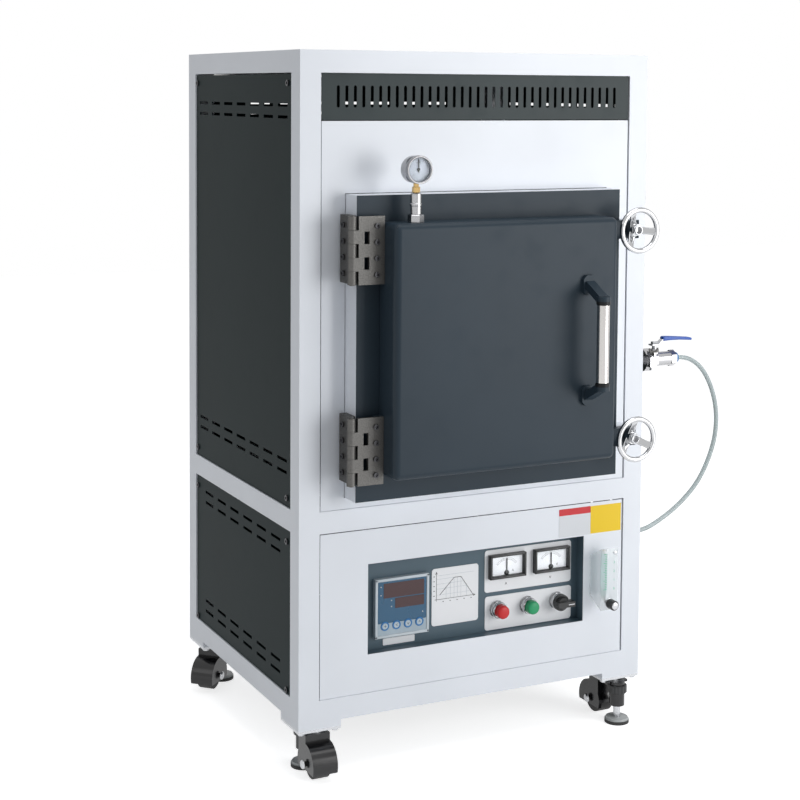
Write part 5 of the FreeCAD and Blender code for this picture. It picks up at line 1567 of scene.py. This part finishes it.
@dataclass
class CasterTrim:
    """Plate bolts, axle screws and the toothed levelling dial of one caster."""

    corner: str
    across: float
    depth: float
    turn: float
    wheel_height: float = 26.5
    wheel_offset: float = 28.0
    bolt_reach: float = 29.0
    dial_sides: int = 64
    tooth_foot: float = 15.0
    tooth_growth: float = 1.07

    def placed(self, piece: Piece) -> Piece:
        """Takes a piece made round the cabinet's zero point to the caster's swivel axis."""
        turn = Matrix.Rotation(math.radians(self.turn), 4, "Z")
        home = Matrix.Translation(-at(0, 0, 0))
        piece.matrix_world = Matrix.Translation(at(self.across, self.depth, 0)) @ turn @ home
        return settle(piece)

    def plate_bolts(self) -> None:
        """Hexagon bolts through the foot plate, with nuts on top."""
        reach = (-self.bolt_reach, self.bolt_reach)
        heads = [turned("plate_bolt", (self.across + x, self.depth + y, 0), Axis.Z, (
            (78.2, 4.4), (78.0, 5.6), (74.6, 5.6), (74.0, 4.8),
        ), sides=6, crease=20) for x in reach for y in reach]
        fit(joined("plate_bolts_" + self.corner, heads), ZINC)

    def axle_screws(self) -> None:
        """A domed screw in each end of the axle."""
        heads = [turned("axle_screw", (self.wheel_offset, 0, self.wheel_height), Axis.Y, (
            (side * 24.2, 5.2), (side * 25.0, 7.2), (side * 26.4, 7.2), (side * 27.8, 5.6),
            (side * 28.3, 2.0),
        ), sides=28, crease=50) for side in (-1, 1)]
        fit(self.placed(joined("axle_screws_" + self.corner, heads)), ZINC, "caster_housing_" + self.corner)

    def dial(self) -> None:
        """The toothed dial that turns the levelling screw."""
        ring = ringed("levelling_dial_" + self.corner, (-self.wheel_offset, 0, 0), Axis.Z, (
            (52.4, 6.3), (52.4, 14.4), (52.9, 15.6), (65.1, 15.6), (65.6, 14.4), (65.6, 6.3),
        ), sides=self.dial_sides, crease=25)
        centre = at(-self.wheel_offset, 0, 0)

        def on_tooth(spot: Vector) -> bool:
            """Whether a vertex belongs to a tooth."""
            away = spot - centre
            share = (math.atan2(away.y, away.x) % math.tau) / math.tau
            step = round(share * self.dial_sides) % self.dial_sides
            return step % 4 in (0, 1) and math.hypot(away.x, away.y) > self.tooth_foot / MM

        pick(ring, on_tooth)
        bpy.ops.transform.resize(value=(self.tooth_growth, self.tooth_growth, 1), center_override=centre)
        bpy.ops.object.mode_set(mode="OBJECT")
        fit(self.placed(ring), BLACK_PLASTIC, "caster_housing_" + self.corner)

    def build(self) -> None:
        """Makes the caster's trim."""
        self.plate_bolts()
        self.axle_screws()
        self.dial()


@dataclass
class Hose:
    """The clear hose from the valve's barb down to the cabinet's inlet."""

    diameter: float = 0.008
    route: Profile = (
        (430.0, PORT_HEIGHT), (443.0, PORT_HEIGHT), (464.0, 608.7), (486.0, 591.5), (505.0, 561.0),
        (518.0, 520.0), (518.5, 474.0), (505.0, 430.0), (480.0, 386.0), (441.0, 351.0), (401.0, 327.5),
        (364.0, INLET_HEIGHT), (335.0, INLET_HEIGHT),
    )

    def build(self) -> None:
        """Lays the hose on its route as one smooth curve."""
        deselect()
        spots = [at(x, PORT_DEPTH, z) for x, z in self.route]
        curve = bpy.data.curves.new("hose_run", "CURVE")
        curve.dimensions = "3D"
        curve.bevel_depth = self.diameter / 2
        curve.bevel_resolution = 6
        curve.resolution_u = 12
        curve.use_fill_caps = True
        spline = curve.splines.new("NURBS")
        spline.points.add(len(spots) - 1)
        for knot, spot in zip(spline.points, spots):
            knot.co = (*spot, 1)
        spline.order_u = 3
        spline.use_endpoint_u = True
        piece = bpy.data.objects.new("hose_run", curve)
        bpy.context.collection.objects.link(piece)
        fit(piece, HOSE_WALL)
        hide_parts("hose")


@dataclass
class Studio:
    """Plain floor, soft lamps and the camera at the photograph's place."""

    camera_place: Point = (-1304.7, -2351.7, 1081.7)
    yaw: float = 26.22
    pitch: float = -3.84
    roll: float = 0.38
    lens: float = 75.25
    shift: float = -0.246
    floor_glow: float = 0.72
    daylight: float = 0.30

    @staticmethod
    def seen(tree: Tree) -> Socket:
        """A value of 1 for what the camera sees, also through glass and in metal."""
        rays = tree.nodes.new("ShaderNodeLightPath")
        direct = combine(tree, "MAXIMUM", rays.outputs["Is Camera Ray"],
                         rays.outputs["Is Transmission Ray"])
        return combine(tree, "MAXIMUM", direct, rays.outputs["Is Glossy Ray"])

    def floor(self) -> None:
        """A pale floor, which shows as white where nothing shades it."""
        deselect()
        bpy.ops.mesh.primitive_plane_add(size=14, location=(0, 0, -0.0005))
        ground = bpy.context.object
        ground.name = "studio_floor"
        material = bpy.data.materials.new("studio_floor")
        material.use_nodes = True
        tree = material.node_tree
        shader = tree.nodes["Principled BSDF"]
        shader.inputs["Base Color"].default_value = (0.9, 0.9, 0.9, 1)
        shader.inputs["Roughness"].default_value = 0.9
        shader.inputs["Emission Color"].default_value = (1, 1, 1, 1)
        glow = combine(tree, "MULTIPLY", self.seen(tree), self.floor_glow)
        tree.links.new(glow, shader.inputs["Emission Strength"])
        ground.data.materials.append(material)

    def world(self) -> None:
        """A white backdrop for the camera over a plain grey light."""
        world = bpy.data.worlds.new("studio")
        world.use_nodes = True
        bpy.context.scene.world = world
        tree = world.node_tree
        light = tree.nodes["Background"]
        light.inputs["Color"].default_value = (0.93, 0.96, 1.0, 1)
        light.inputs["Strength"].default_value = self.daylight
        backdrop = tree.nodes.new("ShaderNodeBackground")
        backdrop.inputs["Color"].default_value = (1, 1, 1, 1)
        backdrop.inputs["Strength"].default_value = 1.0
        mix = tree.nodes.new("ShaderNodeMixShader")
        tree.links.new(self.seen(tree), mix.inputs["Fac"])
        tree.links.new(light.outputs["Background"], mix.inputs[1])
        tree.links.new(backdrop.outputs["Background"], mix.inputs[2])
        tree.links.new(mix.outputs["Shader"], tree.nodes["World Output"].inputs["Surface"])

    def lamp(self, name: str, place: Point, aim: Point, size: float, power: float) -> None:
        """One soft square lamp.

        Args:
            name: The lamp's name.
            place: Where it hangs, in metres.
            aim: The point that it faces, in metres.
            size: Length of its side, in metres.
            power: Its power in watts.
        """
        light = bpy.data.lights.new(name, "AREA")
        light.size = size
        light.energy = power
        holder = bpy.data.objects.new(name, light)
        bpy.context.collection.objects.link(holder)
        holder.location = place
        holder.rotation_euler = (Vector(aim) - Vector(place)).to_track_quat("-Z", "Y").to_euler()

    def camera(self) -> None:
        """The camera that looks from the photograph's place."""
        yaw, pitch, roll = (math.radians(angle) for angle in (self.yaw, self.pitch, self.roll))
        ahead = Vector((math.sin(yaw) * math.cos(pitch), math.cos(yaw) * math.cos(pitch), math.sin(pitch)))
        level = Vector((math.cos(yaw), -math.sin(yaw), 0))
        upright = level.cross(ahead)
        right = level * math.cos(roll) + upright * math.sin(roll)
        up = upright * math.cos(roll) - level * math.sin(roll)
        data = bpy.data.cameras.new("photograph_view")
        data.lens = self.lens
        data.sensor_width = 36.0
        data.sensor_fit = "HORIZONTAL"
        data.shift_y = self.shift
        data.clip_end = 50
        view = bpy.data.objects.new("photograph_view", data)
        bpy.context.collection.objects.link(view)
        turn = Matrix((right, up, -ahead)).transposed().to_4x4()
        view.matrix_world = Matrix.Translation(at(*self.camera_place)) @ turn
        bpy.context.scene.camera = view

    def build(self) -> None:
        """Sets floor, world, lamps and camera."""
        self.floor()
        self.world()
        self.lamp("key_lamp", (1.7, -2.5, 0.95), (0.1, 0.0, 0.45), 1.7, 46.0)
        self.lamp("fill_lamp", (-3.0, -1.2, 1.9), (0.0, 0.0, 0.8), 1.6, 7.0)
        self.lamp("top_lamp", (0.1, -0.7, 3.3), (0.0, 0.0, 0.5), 2.2, 33.0)
        self.camera()
        bpy.context.scene.view_settings.view_transform = "Standard"


def main() -> None:
    """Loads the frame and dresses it."""
    logging.basicConfig(level=logging.INFO, format="%(message)s")
    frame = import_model()
    dress_nodes(frame["nodes"])
    parts = (
        Handwheel("handwheel_upper", height=856.75, turn=5.0),
        Handwheel("handwheel_lower", height=511.25, turn=25.0),
        HingeScrews("upper_hinge", middle=839.0),
        HingeScrews("lower_hinge", middle=529.0),
        Gauge(),
        Sheet("chart_plate", PRINT_WHITE, (-72.4, 14.0), (210.0, 305.0)),
        CurveChart(),
        ControllerFace(),
        Meter("ammeter", "A", across=66.6),
        Meter("voltmeter", "V", across=152.4),
        Sheet("meter_plate", PRINT_WHITE, (26.0, 193.0), (253.0, 324.0)),
        Sheet("switch_plate", PRINT_WHITE, (27.0, 194.0), (189.0, 246.0)),
        SwitchTrim(),
        FlowMeter(),
        Sheet("white_label", LABEL_WHITE, (155.0, 217.0), (336.5, 384.4), 1.6, 0.4, 0.8),
        Sheet("red_band", PRINT_RED, (155.0, 217.0), (373.2, 384.4), 1.6 - PRINT_LIFT, 0.15, 0.8),
        Sheet("yellow_label", PRINT_YELLOW, (217.4, 278.0), (337.0, 384.0), 1.6, 0.4, 0.8),
        PanelScrews(),
        ValveTrim(),
        CasterTrim("front_left", across=-280.5, depth=36.5, turn=-90.0),
        CasterTrim("front_right", across=280.5, depth=36.5, turn=90.0),
        CasterTrim("rear_left", across=-280.5, depth=477.5, turn=-135.0),
        CasterTrim("rear_right", across=280.5, depth=477.5, turn=0.0),
        Hose(),
    )
    for part in parts:
        part.build()
    Studio().build()


if __name__ == "__main__":
    main()
